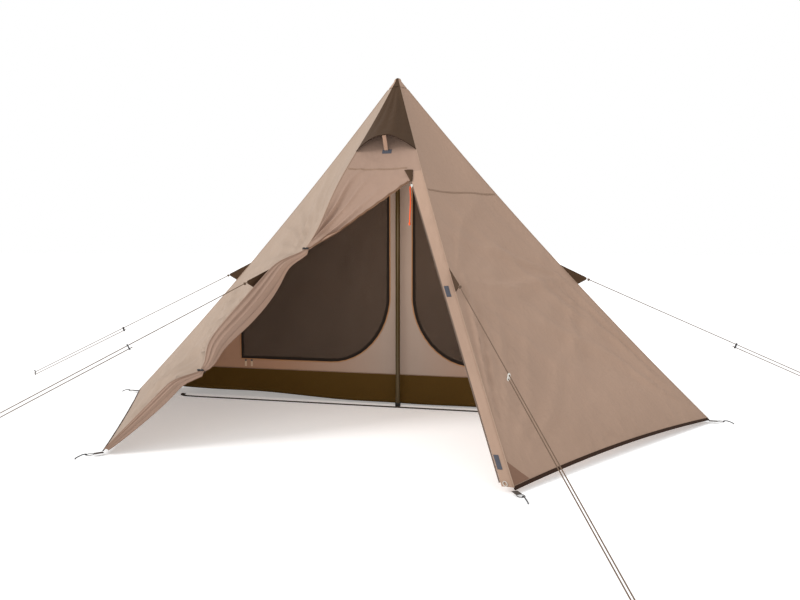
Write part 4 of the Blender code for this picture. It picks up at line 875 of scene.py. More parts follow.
def grid_into(
    build: bmesh.types.BMesh,
    place: Place,
    downs: Sequence[float],
    acrosses: Sequence[float],
    axes: Optional[tuple[Vector, Vector]] = None,
    size: tuple[float, float] = (1.0, 1.0),
    index: int = 0,
    keep: Optional[Callable[[float, float], bool]] = None,
) -> None:
    """Adds a sheet with even topology to a mesh in the making.

    Args:
        build: the mesh that gets the sheet.
        place: gives the point for a down and an across value.
        downs: the value of each row.
        acrosses: the value of each column.
        axes: two unit vectors in metres that the UV map is laid along; without them size is used.
        size: metres for each unit of across and down.
        index: the number of the material.
        keep: tells whether the face at a down and an across value stays.
    """
    layer = build.loops.layers.uv.verify()
    columns, rows = len(acrosses) - 1, len(downs) - 1
    made = bmesh.ops.create_grid(build, x_segments=columns, y_segments=rows, size=0.5)["verts"]
    values = {}
    for vertex in made:
        column = round((vertex.co.x + 0.5) * columns)
        row = round((vertex.co.y + 0.5) * rows)
        values[vertex] = (downs[row], acrosses[column])
        vertex.co = place(downs[row], acrosses[column])
    faces = {face for vertex in made for face in vertex.link_faces}
    dropped = []
    for face in sorted(faces, key=lambda each: min(v.index for v in each.verts)):
        face.material_index = index
        face.smooth = True
        for loop in face.loops:
            down, across = values[loop.vert]
            point = loop.vert.co
            flat = (point.dot(axes[0]), point.dot(axes[1])) if axes else (across * size[0], down * size[1])
            loop[layer].uv = flat
        middle = [sum(values[v][part] for v in face.verts) / len(face.verts) for part in (0, 1)]
        if keep and not keep(*middle):
            dropped.append(face)
    if dropped:
        bmesh.ops.delete(build, geom=dropped, context="FACES")


def strip_into(
    build: bmesh.types.BMesh, points: Sequence[Vector], normal: Vector, width: float, lift: float = 0.0
) -> None:
    """Adds a flat tape along a line.

    Args:
        build: the mesh that gets the tape.
        points: the line it follows.
        normal: the direction that its face looks in.
        width: its width in metres.
        lift: how far its middle stands off the line.
    """
    last = len(points) - 1
    ways = [(points[min(i + 1, last)] - points[max(i - 1, 0)]).normalized() for i in range(last + 1)]

    def place(across: float, along: float) -> Vector:
        """The point at a share of the width and a step along the line."""
        step = round(along * last)
        side = normal.cross(ways[step]).normalized()
        raised = lift * (0.35 + 0.65 * min(1.0, 3.0 * (1.0 - abs(across) * 2.0)))
        return points[step] + side * across * width + normal * raised

    total = max(path_length(points), 1e-6)
    grid_into(build, place, [-0.5, -0.34, -0.15, 0.15, 0.34, 0.5], steps(last), size=(total, width))


def into_scene(name: str, data: Optional[bpy.types.ID]) -> bpy.types.Object:
    """Makes an object of its data and links it to the scene."""
    made = bpy.data.objects.new(name, data)
    bpy.context.scene.collection.objects.link(made)
    return made


def line_curve(
    name: str, points: Sequence[Vector], radius: float, closed: bool = False, sides: int = 3
) -> bpy.types.Curve:
    """A curve of one spline with a round section.

    Args:
        name: the curve's name.
        points: the line it follows.
        radius: its radius in metres.
        closed: whether the last point joins the first.
        sides: the bevel resolution of its section.

    Returns:
        The curve.
    """
    curve = bpy.data.curves.new(name, "CURVE")
    curve.dimensions = "3D"
    curve.bevel_depth = radius
    curve.bevel_resolution = sides
    curve.use_fill_caps = not closed
    spline = curve.splines.new("POLY")
    spline.points.add(len(points) - 1)
    for knot, point in zip(spline.points, points):
        knot.co = (*point, 1.0)
    spline.use_cyclic_u = closed
    return curve


def line_mesh(points: Sequence[Vector], radius: float, closed: bool = False, sides: int = 2) -> bpy.types.Mesh:
    """A round tube along points, as a mesh. The arguments are those of line_curve."""
    curve = line_curve("line", points, radius, closed, sides)
    holder = into_scene("line", curve)
    bpy.context.view_layer.update()
    mesh = bpy.data.meshes.new_from_object(holder)
    bpy.data.objects.remove(holder)
    bpy.data.curves.remove(curve)
    return mesh


def joined_tubes(
    name: str, lines: Sequence[Sequence[Vector]], radius: float, closed: bool = False, sides: int = 2
) -> bpy.types.Mesh:
    """Several round tubes as one mesh."""
    build = bmesh.new()
    for points in lines:
        piece = line_mesh(points, radius, closed, sides)
        build.from_mesh(piece)
        bpy.data.meshes.remove(piece)
    return mesh_of(build, name)


def mesh_of(build: bmesh.types.BMesh, name: str, outward: Outward = None) -> bpy.types.Mesh:
    """Closes the making of a mesh: doubles merged, normals turned outwards.

    Args:
        build: the mesh in the making, which is freed.
        name: the new mesh's name.
        outward: for open sheets the direction out of the piece, or a function that gives it at a point.

    Returns:
        The finished mesh.
    """
    bmesh.ops.remove_doubles(build, verts=build.verts[:], dist=1e-5)
    bmesh.ops.dissolve_degenerate(build, edges=build.edges[:], dist=1e-6)
    bmesh.ops.recalc_face_normals(build, faces=build.faces[:])
    build.normal_update()
    if outward is not None:
        facing = 0.0
        for face in build.faces:
            way = outward(face.calc_center_median()) if callable(outward) else outward
            facing += face.normal.dot(way) * face.calc_area()
        if facing < 0.0:
            bmesh.ops.reverse_faces(build, faces=build.faces[:])
    mesh = bpy.data.meshes.new(name)
    build.to_mesh(mesh)
    build.free()
    for polygon in mesh.polygons:
        polygon.use_smooth = True
    return mesh


@dataclass
class Assembly:
    """One sub-assembly of the tent: it builds its pieces and says what they are."""

    materials: dict[str, bpy.types.Material]
    pieces: list[bpy.types.Object] = field(default_factory=list)

    def add(
        self,
        name: str,
        data: bpy.types.Mesh | bpy.types.Curve,
        finishes: Sequence[str],
        body: str = "tent",
        slot: Optional[str] = None,
        replaced: Sequence[str] = (),
        thickness: float = 0.0,
        offset: float = -1.0,
    ) -> bpy.types.Object:
        """Puts one piece into the scene.

        Args:
            name: the piece's name.
            data: its mesh or curve.
            finishes: its materials by name.
            body: the moving body it rides.
            slot: the record's material slot, which is not used.
            replaced: the solids that it stands for.
            thickness: the wall that a sheet gets, in metres.
            offset: where that wall lies, -1 being inwards.

        Returns:
            The piece.
        """
        piece = into_scene(name, data)
        for finish in finishes:
            data.materials.append(self.materials[finish])
        if thickness:
            wall = piece.modifiers.new("wall", "SOLIDIFY")
            wall.thickness = thickness
            wall.offset = offset
            piece.modifiers.new("flat_light", "WEIGHTED_NORMAL").weight = 100
        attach(piece, body)
        if replaced:
            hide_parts(*replaced)
        self.pieces.append(piece)
        return piece

    def add_sheet(
        self,
        name: str,
        place: Place,
        downs: Sequence[float],
        acrosses: Sequence[float],
        finish: str,
        outward: Outward = None,
        axes: Optional[tuple[Vector, Vector]] = None,
        size: tuple[float, float] = (1.0, 1.0),
        keep: Optional[Callable[[float, float], bool]] = None,
        **rest,
    ) -> bpy.types.Object:
        """Puts one cut of cloth into the scene. The arguments are those of grid_into, mesh_of and add."""
        build = bmesh.new()
        grid_into(build, place, downs, acrosses, axes, size, keep=keep)
        return self.add(name, mesh_of(build, name, outward), [finish], **rest)

    def add_strip(
        self,
        name: str,
        points: Sequence[Vector],
        normal: Vector,
        width: float,
        finish: str,
        outward: Outward = None,
        lift: float = 0.0,
        **rest,
    ) -> bpy.types.Object:
        """Puts one length of tape into the scene. The arguments are those of strip_into, mesh_of and add."""
        build = bmesh.new()
        strip_into(build, points, normal, width, lift)
        return self.add(name, mesh_of(build, name, outward), [finish], **rest)

    def dress_node(self, node: str, finish: str) -> None:
        """Gives a carried-over solid its finish.

        Args:
            node: the solid's name.
            finish: the material's name.
        """
        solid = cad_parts[node]
        solid.data.materials.clear()
        solid.data.materials.append(self.materials[finish])

    def report(self) -> None:
        """Logs each piece that the assembly made."""
        for piece in self.pieces:
            LOG.info("%s: %s", type(self).__name__, piece.name)


# Sub-assemblies


@dataclass(frozen=True)
class Studio:
    """Camera, lamps and floor. Places are in metres and the lamps' directions point the way their light goes."""

    lens: float = 36.0
    camera_place: tuple[float, float, float] = (1.1356, -4.251, 0.900)
    camera_way: tuple[float, float, float] = (-0.2548, 0.9645, -0.0698)
    sun_strength: float = 1.5
    sun_angle: float = 25.0
    sun_way: tuple[float, float, float] = (0.75, 0.55, -0.75)
    fill_power: float = 5.6
    fill_colour: tuple[float, float, float] = (1.0, 0.88, 0.76)
    fill_place: tuple[float, float, float] = (0.10, -0.50, 0.95)
    fill_radius: float = 0.30
    world_strength: float = 0.72
    floor_size: float = 60.0
    floor_depth: float = 0.001

    def aim(self, holder: bpy.types.Object, way: tuple[float, float, float]) -> None:
        """Turns a camera or a lamp to look along a direction."""
        holder.rotation_mode = "QUATERNION"
        holder.rotation_quaternion = Vector(way).to_track_quat("-Z", "Y")

    def build(self) -> None:
        """Sets up the photo's camera, the two lamps, the white surround and the pale floor."""
        camera = bpy.data.cameras.new("photo_camera")
        camera.lens = self.lens
        camera.sensor_width = 36.0
        holder = into_scene("photo_camera", camera)
        holder.location = self.camera_place
        self.aim(holder, self.camera_way)
        bpy.context.scene.camera = holder
        lamp = bpy.data.lights.new("key_lamp", "SUN")
        lamp.energy = self.sun_strength
        lamp.angle = math.radians(self.sun_angle)
        self.aim(into_scene("key_lamp", lamp), self.sun_way)
        fill = bpy.data.lights.new("light_through_cloth", "POINT")
        fill.energy = self.fill_power
        fill.color = self.fill_colour
        fill.shadow_soft_size = self.fill_radius
        into_scene("light_through_cloth", fill).location = self.fill_place
        self.build_world()
        self.build_floor()
        bpy.context.scene.view_settings.view_transform = "Standard"

    def build_world(self) -> None:
        """A plain white surround, seen as pure white by the camera."""
        world = bpy.data.worlds.new("pale_surround")
        world.use_nodes = True
        bpy.context.scene.world = world
        graph = Graph(world.node_tree)
        seen = graph.add("ShaderNodeLightPath").outputs["Is Camera Ray"]
        strength = graph.math("MULTIPLY_ADD", seen, 1.0 - self.world_strength, self.world_strength)
        inputs = {"Color": (1.0, 1.0, 1.0, 1.0), "Strength": strength}
        graph.feed(world.node_tree.nodes["Background"], inputs)

    def build_floor(self) -> None:
        """A wide pale floor just under the tent."""
        build = bmesh.new()
        bmesh.ops.create_grid(build, x_segments=2, y_segments=2, size=self.floor_size)
        bmesh.ops.translate(build, verts=build.verts[:], vec=UP * -self.floor_depth)
        floor = into_scene("pale_floor", mesh_of(build, "pale_floor", UP))
        material = bpy.data.materials.new("pale_floor")
        material.use_nodes = True
        inputs = {"Base Color": (0.93, 0.93, 0.93, 1.0), "Roughness": 0.9, "Specular IOR Level": 0.0}
        inputs |= {"Emission Color": (1.0, 1.0, 1.0, 1.0), "Emission Strength": 0.30}
        Graph(material.node_tree).feed(material.node_tree.nodes["Principled BSDF"], inputs)
        floor.data.materials.append(material)


@dataclass(frozen=True)
class GuySizes:
    """The taut guy lines: where each is pegged, and the sizes of its doubled rope. Lengths are in metres.

    Each peg is given as its corner, its X and Y and how far down the rope its runner sits.
    """

    pegs: tuple[tuple[Corner, float, float, float], ...] = (
        (Corner.LEFT, -2.690, 0.390, 0.94),
        (Corner.FRONT_LEFT, -1.610, -1.660, 0.60),
        (Corner.FRONT_RIGHT, 1.217, -2.293, 0.70),
        (Corner.RIGHT, 2.560, 0.420, 0.86),
    )
    rope_radius: float = 0.002
    spacing: float = 0.016
    end_height: float = 0.013
    tail: float = 0.012
    gap: float = 0.0003
    runner_thickness: float = 0.006
    peg_radius: float = 0.0026
    peg_lean: float = 0.004
    hook_height: float = 0.012
    hook_radius: float = 0.006
    knot_radius: float = 0.0019
    knot_size: float = 0.0021
    knot_depth: float = 0.0032
    knot_distance: float = 0.012


class GuyLines(Assembly):
    """Four taut ropes, each doubled through its runner and looped round a ground peg."""

    sizes = GuySizes()

    def line(self, corner: Corner, x: float, y: float) -> tuple[Vector, Vector, Vector, Vector]:
        """Start, ground end, direction and the direction across both strands of one rope."""
        sizes = self.sizes
        tip = SHAPE.tab_tip(corner)
        peg = Vector((x, y, sizes.end_height + sizes.spacing / 2.0))
        along = (peg - tip).normalized()
        start = tip + along * (sizes.gap - sizes.rope_radius * along.z) / math.hypot(along.x, along.y)
        below = along.cross(along.cross(UP).normalized())
        return start, peg, along, below if below.z < 0.0 else -below

    def path(self, start: Vector, peg: Vector, along: Vector, below: Vector, runner: float) -> list[Vector]:
        """The rope's centreline: down the upper strand, round the peg and back up to the runner."""
        sizes = self.sizes
        half = sizes.spacing / 2.0
        points = line_between(start, peg, 22)
        centre = peg + below * half
        for angle in map(math.radians, (30.0, 60.0, 90.0, 120.0, 150.0)):
            points.append(centre + (along * math.sin(angle) - below * math.cos(angle)) * half)
        far = peg + below * sizes.spacing
        near = start + along * (runner - sizes.runner_thickness / 2.0 - sizes.tail) + below * sizes.spacing
        return points + line_between(far, near, 12)

    def build(self) -> None:
        """Builds each rope with its knot and its ground peg."""
        for corner, x, y, runner in self.sizes.pegs:
            start, peg, along, below = self.line(corner, x, y)
            points = self.path(start, peg, along, below, runner)
            name, runner_node = "guy_rope_" + corner.label, "guy_runner_" + corner.label
            curve = line_curve(name, points, self.sizes.rope_radius)
            rope = self.add(name, curve, ["guy_rope"], slot="tan_rope", replaced=[name])
            anchor = self.build_peg(corner, peg + below * self.sizes.spacing / 2.0)
            knot = self.build_knot(corner, start, along)
            self.dress_node(runner_node, "white_plastic" if corner is Corner.FRONT_RIGHT else "dark_steel")
            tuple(start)
            path_length(points)

    def build_peg(self, corner: Corner, centre: Vector) -> bpy.types.Object:
        """The head of a ground peg inside the rope's loop, with its hook above."""
        sizes = self.sizes
        level = Vector((centre.x, centre.y, 0.0))
        outward = level.normalized()
        points = [level + outward * sizes.peg_lean, centre + UP * sizes.peg_lean]
        for angle in map(math.radians, (150.0, 110.0, 70.0, 30.0, 0.0)):
            rise = sizes.hook_height + sizes.hook_radius * math.sin(angle)
            out = sizes.hook_radius + sizes.hook_radius * math.cos(angle)
            points.append(centre + UP * rise + outward * out)
        mesh = line_mesh(points, sizes.peg_radius)
        return self.add("guy_peg_" + corner.label, mesh, ["dark_steel"], slot="dark_steel")

    def build_knot(self, corner: Corner, start: Vector, along: Vector) -> bpy.types.Object:
        """The knot that ties the rope to its tab."""
        sizes = self.sizes
        side = along.cross(UP).normalized()
        lift = side.cross(along)
        centre = start + along * sizes.knot_distance
        points = []
        for turn in turns(48):
            sideways = math.sin(turn) + 2.0 * math.sin(2.0 * turn)
            upward = math.cos(turn) - 2.0 * math.cos(2.0 * turn)
            forward = along * -math.sin(3.0 * turn) * sizes.knot_depth
            points.append(centre + (side * sideways + lift * upward) * sizes.knot_size + forward)
        mesh = line_mesh(points, sizes.knot_radius, closed=True)
        return self.add("guy_knot_" + corner.label, mesh, ["guy_rope"], slot="tan_rope")


@dataclass(frozen=True)
class FlySizes:
    """How the canopy is divided, and the sizes of all that is sewn to it. Lengths are in metres."""

    side_columns: int = 58
    crowding: float = 0.55
    vent_hole: tuple[float, float] = (0.375, 0.6875)
    fabric: float = 0.0008
    flat_size: tuple[float, float] = (6.5, 2.4)
    piping_radius: float = 0.0019
    right_seam_height: float = 1.162
    right_seam_width: float = 0.011
    front_seam_width: float = 0.009
    seam_lift: float = 0.0013
    hem_columns: int = 36
    hem_top: float = -0.004
    hem_bottom: float = 0.0118
    hem_inside: float = 0.0026
    hem_outside: float = 0.0012
    edge_radius: float = 0.0024
    edge_lift: float = 0.0012
    band_width: float = 0.013
    band_inset: float = 0.0080
    garage_top: float = 1.268
    garage_bottom: float = 1.210
    garage_lift: float = 0.0062
    loop_radius: float = 0.0014
    loop_height: float = 0.0125
    loop_clearance: float = 0.009
    corner_loop: tuple[float, float] = (0.0075, 0.010)


class Fly(Assembly):
    """The outer tent's cloth in one sheet, with its seams, piping, hem and tied door."""

    sizes = FlySizes()
    downs: list[float]

    def row_shares(self) -> list[float]:
        """The rows that every side shares, so that seams meet."""
        knots = [
            SHAPE.top,
            SHAPE.share_at(SHAPE.vent_top_height),
            SHAPE.share_at(SHAPE.vent_bottom_height),
            SHAPE.zip_top,
            SHAPE.door_corner,
            SHAPE.upper_toggle,
            SHAPE.lower_toggle,
            1.0,
        ]
        return spaced(knots, [5, 10, 16, 4, 26, 34, 22])

    def sides(self) -> list[tuple[Corner, Corner, int]]:
        """The five whole sides with the number of the finish of each."""
        return [
            (Corner.LEFT, Corner.FRONT_LEFT, 0),
            (Corner.BACK_LEFT, Corner.LEFT, 0),
            (Corner.BACK_RIGHT, Corner.BACK_LEFT, 2),
            (Corner.RIGHT, Corner.BACK_RIGHT, 2),
            (Corner.FRONT_RIGHT, Corner.RIGHT, 2),
        ]

    def build(self) -> None:
        """Builds the sheet, then everything that is sewn to it."""
        self.build_canopy()
        self.build_piping()
        self.build_tapes()
        self.build_hem()
        self.build_door_edge()
        self.build_zip()
        self.build_toggle_loops()
        self.build_tags()
        self.build_corner()

    def build_canopy(self) -> None:
        """One continuous sheet: five sides, the closed upper front, the tied flap and the placket."""
        sizes = self.sizes
        self.downs = self.row_shares()
        build = bmesh.new()
        across = crowded(sizes.side_columns, sizes.crowding)
        for corner, following, index in self.sides():
            side = partial(SHAPE.panel, corner, following)
            grid_into(build, side, self.downs, across, self.axes(corner, following), index=index)
        axes = self.axes(Corner.FRONT_LEFT, Corner.FRONT_RIGHT)
        first, last = SHAPE.share_at(SHAPE.vent_top_height), SHAPE.share_at(SHAPE.vent_bottom_height)

        def whole(share: float, place: float) -> bool:
            """False inside the vent's hole."""
            return not (first < share < last and sizes.vent_hole[0] < place < sizes.vent_hole[1])

        grid_into(build, SHAPE.front_zone, self.downs, steps(96), axes, index=1, keep=whole)
        turn = min(range(len(self.downs)), key=lambda row: abs(self.downs[row] - SHAPE.zip_top))
        for rows, index in ((self.downs[: turn + 1], 1), (self.downs[turn:], 2)):
            grid_into(build, SHAPE.placket, rows, steps(4), axes, index=index)
        mesh = mesh_of(build, "fly_canopy", lambda point: Vector((point.x, point.y, 0.6)))
        nodes = ["fly_left_panel", "fly_back_left_panel", "fly_back_panel", "fly_back_right_panel"]
        nodes += ["fly_right_panel", "fly_front_door_panel", "door_placket"]
        # Painted shade: the three finishes are one cloth, tinted lighter or darker for how the light falls on each
        # side.
        finishes = ["fly_cloth_left", "fly_cloth_door", "fly_cloth_right"]
        canopy = self.add("fly_canopy", mesh, finishes, slot="fly_light", replaced=nodes, thickness=sizes.fabric)

    def axes(self, corner: Corner, following: Corner) -> tuple[Vector, Vector]:
        """Across and down a side, for its weave."""
        across = (SHAPE.tip(following) - SHAPE.tip(corner)).normalized()
        return across, across.cross(SHAPE.outward(corner, following)).normalized()

    def build_piping(self) -> None:
        """The rolled seams down the six ridges."""
        stand = self.sizes.fabric
        lines = [[SHAPE.ridge(each, share) + each.outward * stand for share in self.downs[1:]] for each in Corner]
        mesh = joined_tubes("ridge_piping", lines, self.sizes.piping_radius, sides=1)
        self.add("ridge_piping", mesh, ["piping_cord"], slot="fly_right")

    def build_tapes(self) -> None:
        """The cross seams of the right side and of the front."""
        sizes = self.sizes
        build = bmesh.new()
        right = partial(SHAPE.panel, Corner.FRONT_RIGHT, Corner.RIGHT)
        outward = SHAPE.outward(Corner.FRONT_RIGHT, Corner.RIGHT)
        for place, share, normal, width in (
            (right, SHAPE.share_at(sizes.right_seam_height), outward, sizes.right_seam_width),
            (SHAPE.front_zone, SHAPE.zip_top - 0.012, SHAPE.door_normal, sizes.front_seam_width),
        ):
            points = [place(share, across) for across in steps(40)[1:-1]]
            strip_into(build, points, normal, width, sizes.seam_lift)
        self.add("cross_seams", mesh_of(build, "cross_seams"), ["seam_tape"], slot="fly_right", thickness=0.0004)

    def build_hem(self) -> None:
        """The bound hem, from the front left corner by the back to the front right corner."""
        sizes = self.sizes
        build = bmesh.new()
        across = steps(sizes.hem_columns)
        for corner, following, _ in self.sides():
            outward = SHAPE.outward(corner, following)
            edge = [SHAPE.panel(corner, following, 1.0, share) for share in across]
            above = [SHAPE.panel(corner, following, 0.97, share) for share in across]
            falls = [(low - high).normalized() for low, high in zip(edge, above)]

            def place(down: float, share: float, edge=edge, falls=falls, outward=outward) -> Vector:
                """Round the tape's U section, from inside to outside."""
                step = round(share * sizes.hem_columns)
                if down < 0.5:
                    fall = mix(sizes.hem_top, sizes.hem_bottom, down * 2.0)
                    return edge[step] - outward * sizes.hem_inside + falls[step] * fall
                fall = mix(sizes.hem_bottom, sizes.hem_top, down * 2.0 - 1.0)
                return edge[step] + outward * sizes.hem_outside + falls[step] * fall

            shares = [0.0, 0.25, 0.4, 0.5, 0.6, 0.75, 1.0]
            grid_into(build, place, shares, across, size=((edge[-1] - edge[0]).length, 0.024))
        mesh = mesh_of(build, "hem_tape", lambda point: Vector((point.x, point.y, 0.0)))
        self.add("hem_tape", mesh, ["hem_tape"], slot="brown_fabric", replaced=["hem_binding"], thickness=0.0006)

    def build_door_edge(self) -> None:
        """The zip half that runs along the flap's free edge, and the band behind it."""
        sizes = self.sizes
        shares = [share for share in self.downs if share > SHAPE.zip_top + 0.001]
        points = [SHAPE.front_zone(share, 1.0) + SHAPE.door_normal * sizes.edge_lift for share in shares]
        mesh = joined_tubes("door_edge_zip", [points], sizes.edge_radius, sides=1)
        self.add("door_edge_zip", mesh, ["edge_band"], slot="fly_door")
        points = []
        for share in shares:
            if SHAPE.door_corner <= share <= SHAPE.upper_toggle:
                width = (SHAPE.front_zone(share, 1.0) - SHAPE.front_zone(share, 0.0)).length
                inset = 1.0 - min(sizes.band_inset / max(width, 0.001), 0.4)
                points.append(SHAPE.front_zone(share, inset) + SHAPE.door_normal * 0.0006)
        normal = SHAPE.door_normal
        rest = {"lift": 0.0010, "slot": "fly_door", "thickness": 0.0004}
        self.add_strip("door_edge_band", points, normal, sizes.band_width, "edge_band", normal, **rest)

    def build_zip(self) -> None:
        """The zip's garage at its top, and the finishes of its chain and slider."""
        sizes = self.sizes
        top, bottom = SHAPE.share_at(sizes.garage_top), SHAPE.share_at(sizes.garage_bottom)

        def place(down: float, across: float) -> Vector:
            """A point of the downward triangle over the zip's top."""
            left, right = mix(-0.021, -0.006, down), mix(0.024, 0.004, down)
            line = SHAPE.zip_line(mix(top, bottom, down)) + SHAPE.door_side * mix(left, right, across)
            return line + SHAPE.door_normal * (sizes.garage_lift + 0.002 * bow(across))

        rest = {"size": (0.05, 0.06), "slot": "brown_fabric", "thickness": sizes.fabric}
        self.add_sheet("zip_garage", place, steps(8), steps(8), "brown_cloth", SHAPE.door_normal, **rest)
        self.dress_node("door_zip_chain", "zip_chain")
        self.dress_node("door_zip_slider", "white_plastic")

    def build_toggle_loops(self) -> None:
        """Elastic loops that hold the gathered flap under its toggles."""
        half = SHAPE.cinched_width * 0.5
        lines = []
        for share in (SHAPE.upper_toggle, SHAPE.lower_toggle):
            centre = SHAPE.ridge(Corner.FRONT_LEFT, share) + SHAPE.door_side * half
            points = []
            for turn in turns(28):
                sideways = SHAPE.door_side * math.cos(turn) * (half + self.sizes.loop_clearance)
                points.append(centre + sideways + SHAPE.door_normal * math.sin(turn) * self.sizes.loop_height)
            lines.append(points)
        mesh = joined_tubes("toggle_loops", lines, self.sizes.loop_radius, closed=True)
        self.add("toggle_loops", mesh, ["elastic_cord"], slot="black_plastic")
        for node in ("door_toggle_upper", "door_toggle_lower"):
            self.dress_node(node, "black_plastic")

    def build_tags(self) -> None:
        """The grey tags on the placket. Each lies between two heights and two shares of the placket's width."""

        def tag(share: float, across: float) -> Vector:
            """A point just over the placket."""
            return SHAPE.placket(share, across) + SHAPE.door_normal * 0.0012

        rest = {"size": (0.05, 0.6), "slot": "grey_webbing", "thickness": 0.0006}
        for name, heights, ends in (("upper", (0.719, 0.674), (0.10, 0.52)), ("lower", (0.116, 0.072), (0.08, 0.50))):
            rows = [SHAPE.share_at(mix(*heights, share)) for share in steps(4)]
            columns = [mix(*ends, share) for share in steps(4)]
            self.add_sheet("placket_tag_" + name, tag, rows, columns, "hook_patch", SHAPE.door_normal, **rest)

    def build_corner(self) -> None:
        """The front right corner's patch and its cord loop."""
        outward = SHAPE.outward(Corner.FRONT_RIGHT, Corner.RIGHT)

        def patch(down: float, across: float) -> Vector:
            """A point of the triangle sewn into the corner."""
            point = SHAPE.panel(Corner.FRONT_RIGHT, Corner.RIGHT, mix(0.957, 0.997, down), across * 0.062 * down)
            return point + outward * 0.0011

        rest = {"size": (0.1, 0.1), "slot": "fly_right", "thickness": 0.0005}
        self.add_sheet("corner_patch", patch, steps(10), steps(8), "corner_patch", outward, **rest)
        centre = SHAPE.placket(0.996, 0.35) + SHAPE.door_normal * 0.004
        wide, long = self.sizes.corner_loop
        loop = []
        for turn in turns(20):
            sideways = SHAPE.door_side * wide * math.cos(turn)
            loop.append(centre + sideways + SHAPE.zip_direction * long * math.sin(turn))
        mesh = line_mesh(loop, self.sizes.loop_radius, closed=True)
        self.add("corner_cord_loop", mesh, ["white_cord"], slot="white_plastic")


@dataclass(frozen=True)
class VentSizes:
    """The cap over the tip, the vent under the hood and its prop. Lengths are in metres."""

    net_margin: float = 0.012
    net_across: tuple[float, float] = (0.27, 0.62)
    net_depth: float = 0.0032
    lip_radius: float = 0.0016
    lip_lift: float = 0.0012
    hood_fold: float = 0.0065
    prop_width: float = 0.020
    prop_thickness: float = 0.0015
    prop_foot_height: float = 1.384
    prop_sideways: float = 0.014
    prop_inset: float = 0.006
    patch_heights: tuple[float, float] = (1.388, 1.367)
    patch_sideways: tuple[float, float] = (-0.020, 0.030)
    patch_lift: float = 0.0014
    gap: float = 0.0003
    fabric: float = 0.0015
    cloth: float = 0.0010
    cap_skirt: float = 1.7400
    cap_shoulder: float = 1.7765
    cap_peak: float = 1.7950
    cap_stand: float = 0.0014
    cap_over_hood: float = 0.0040


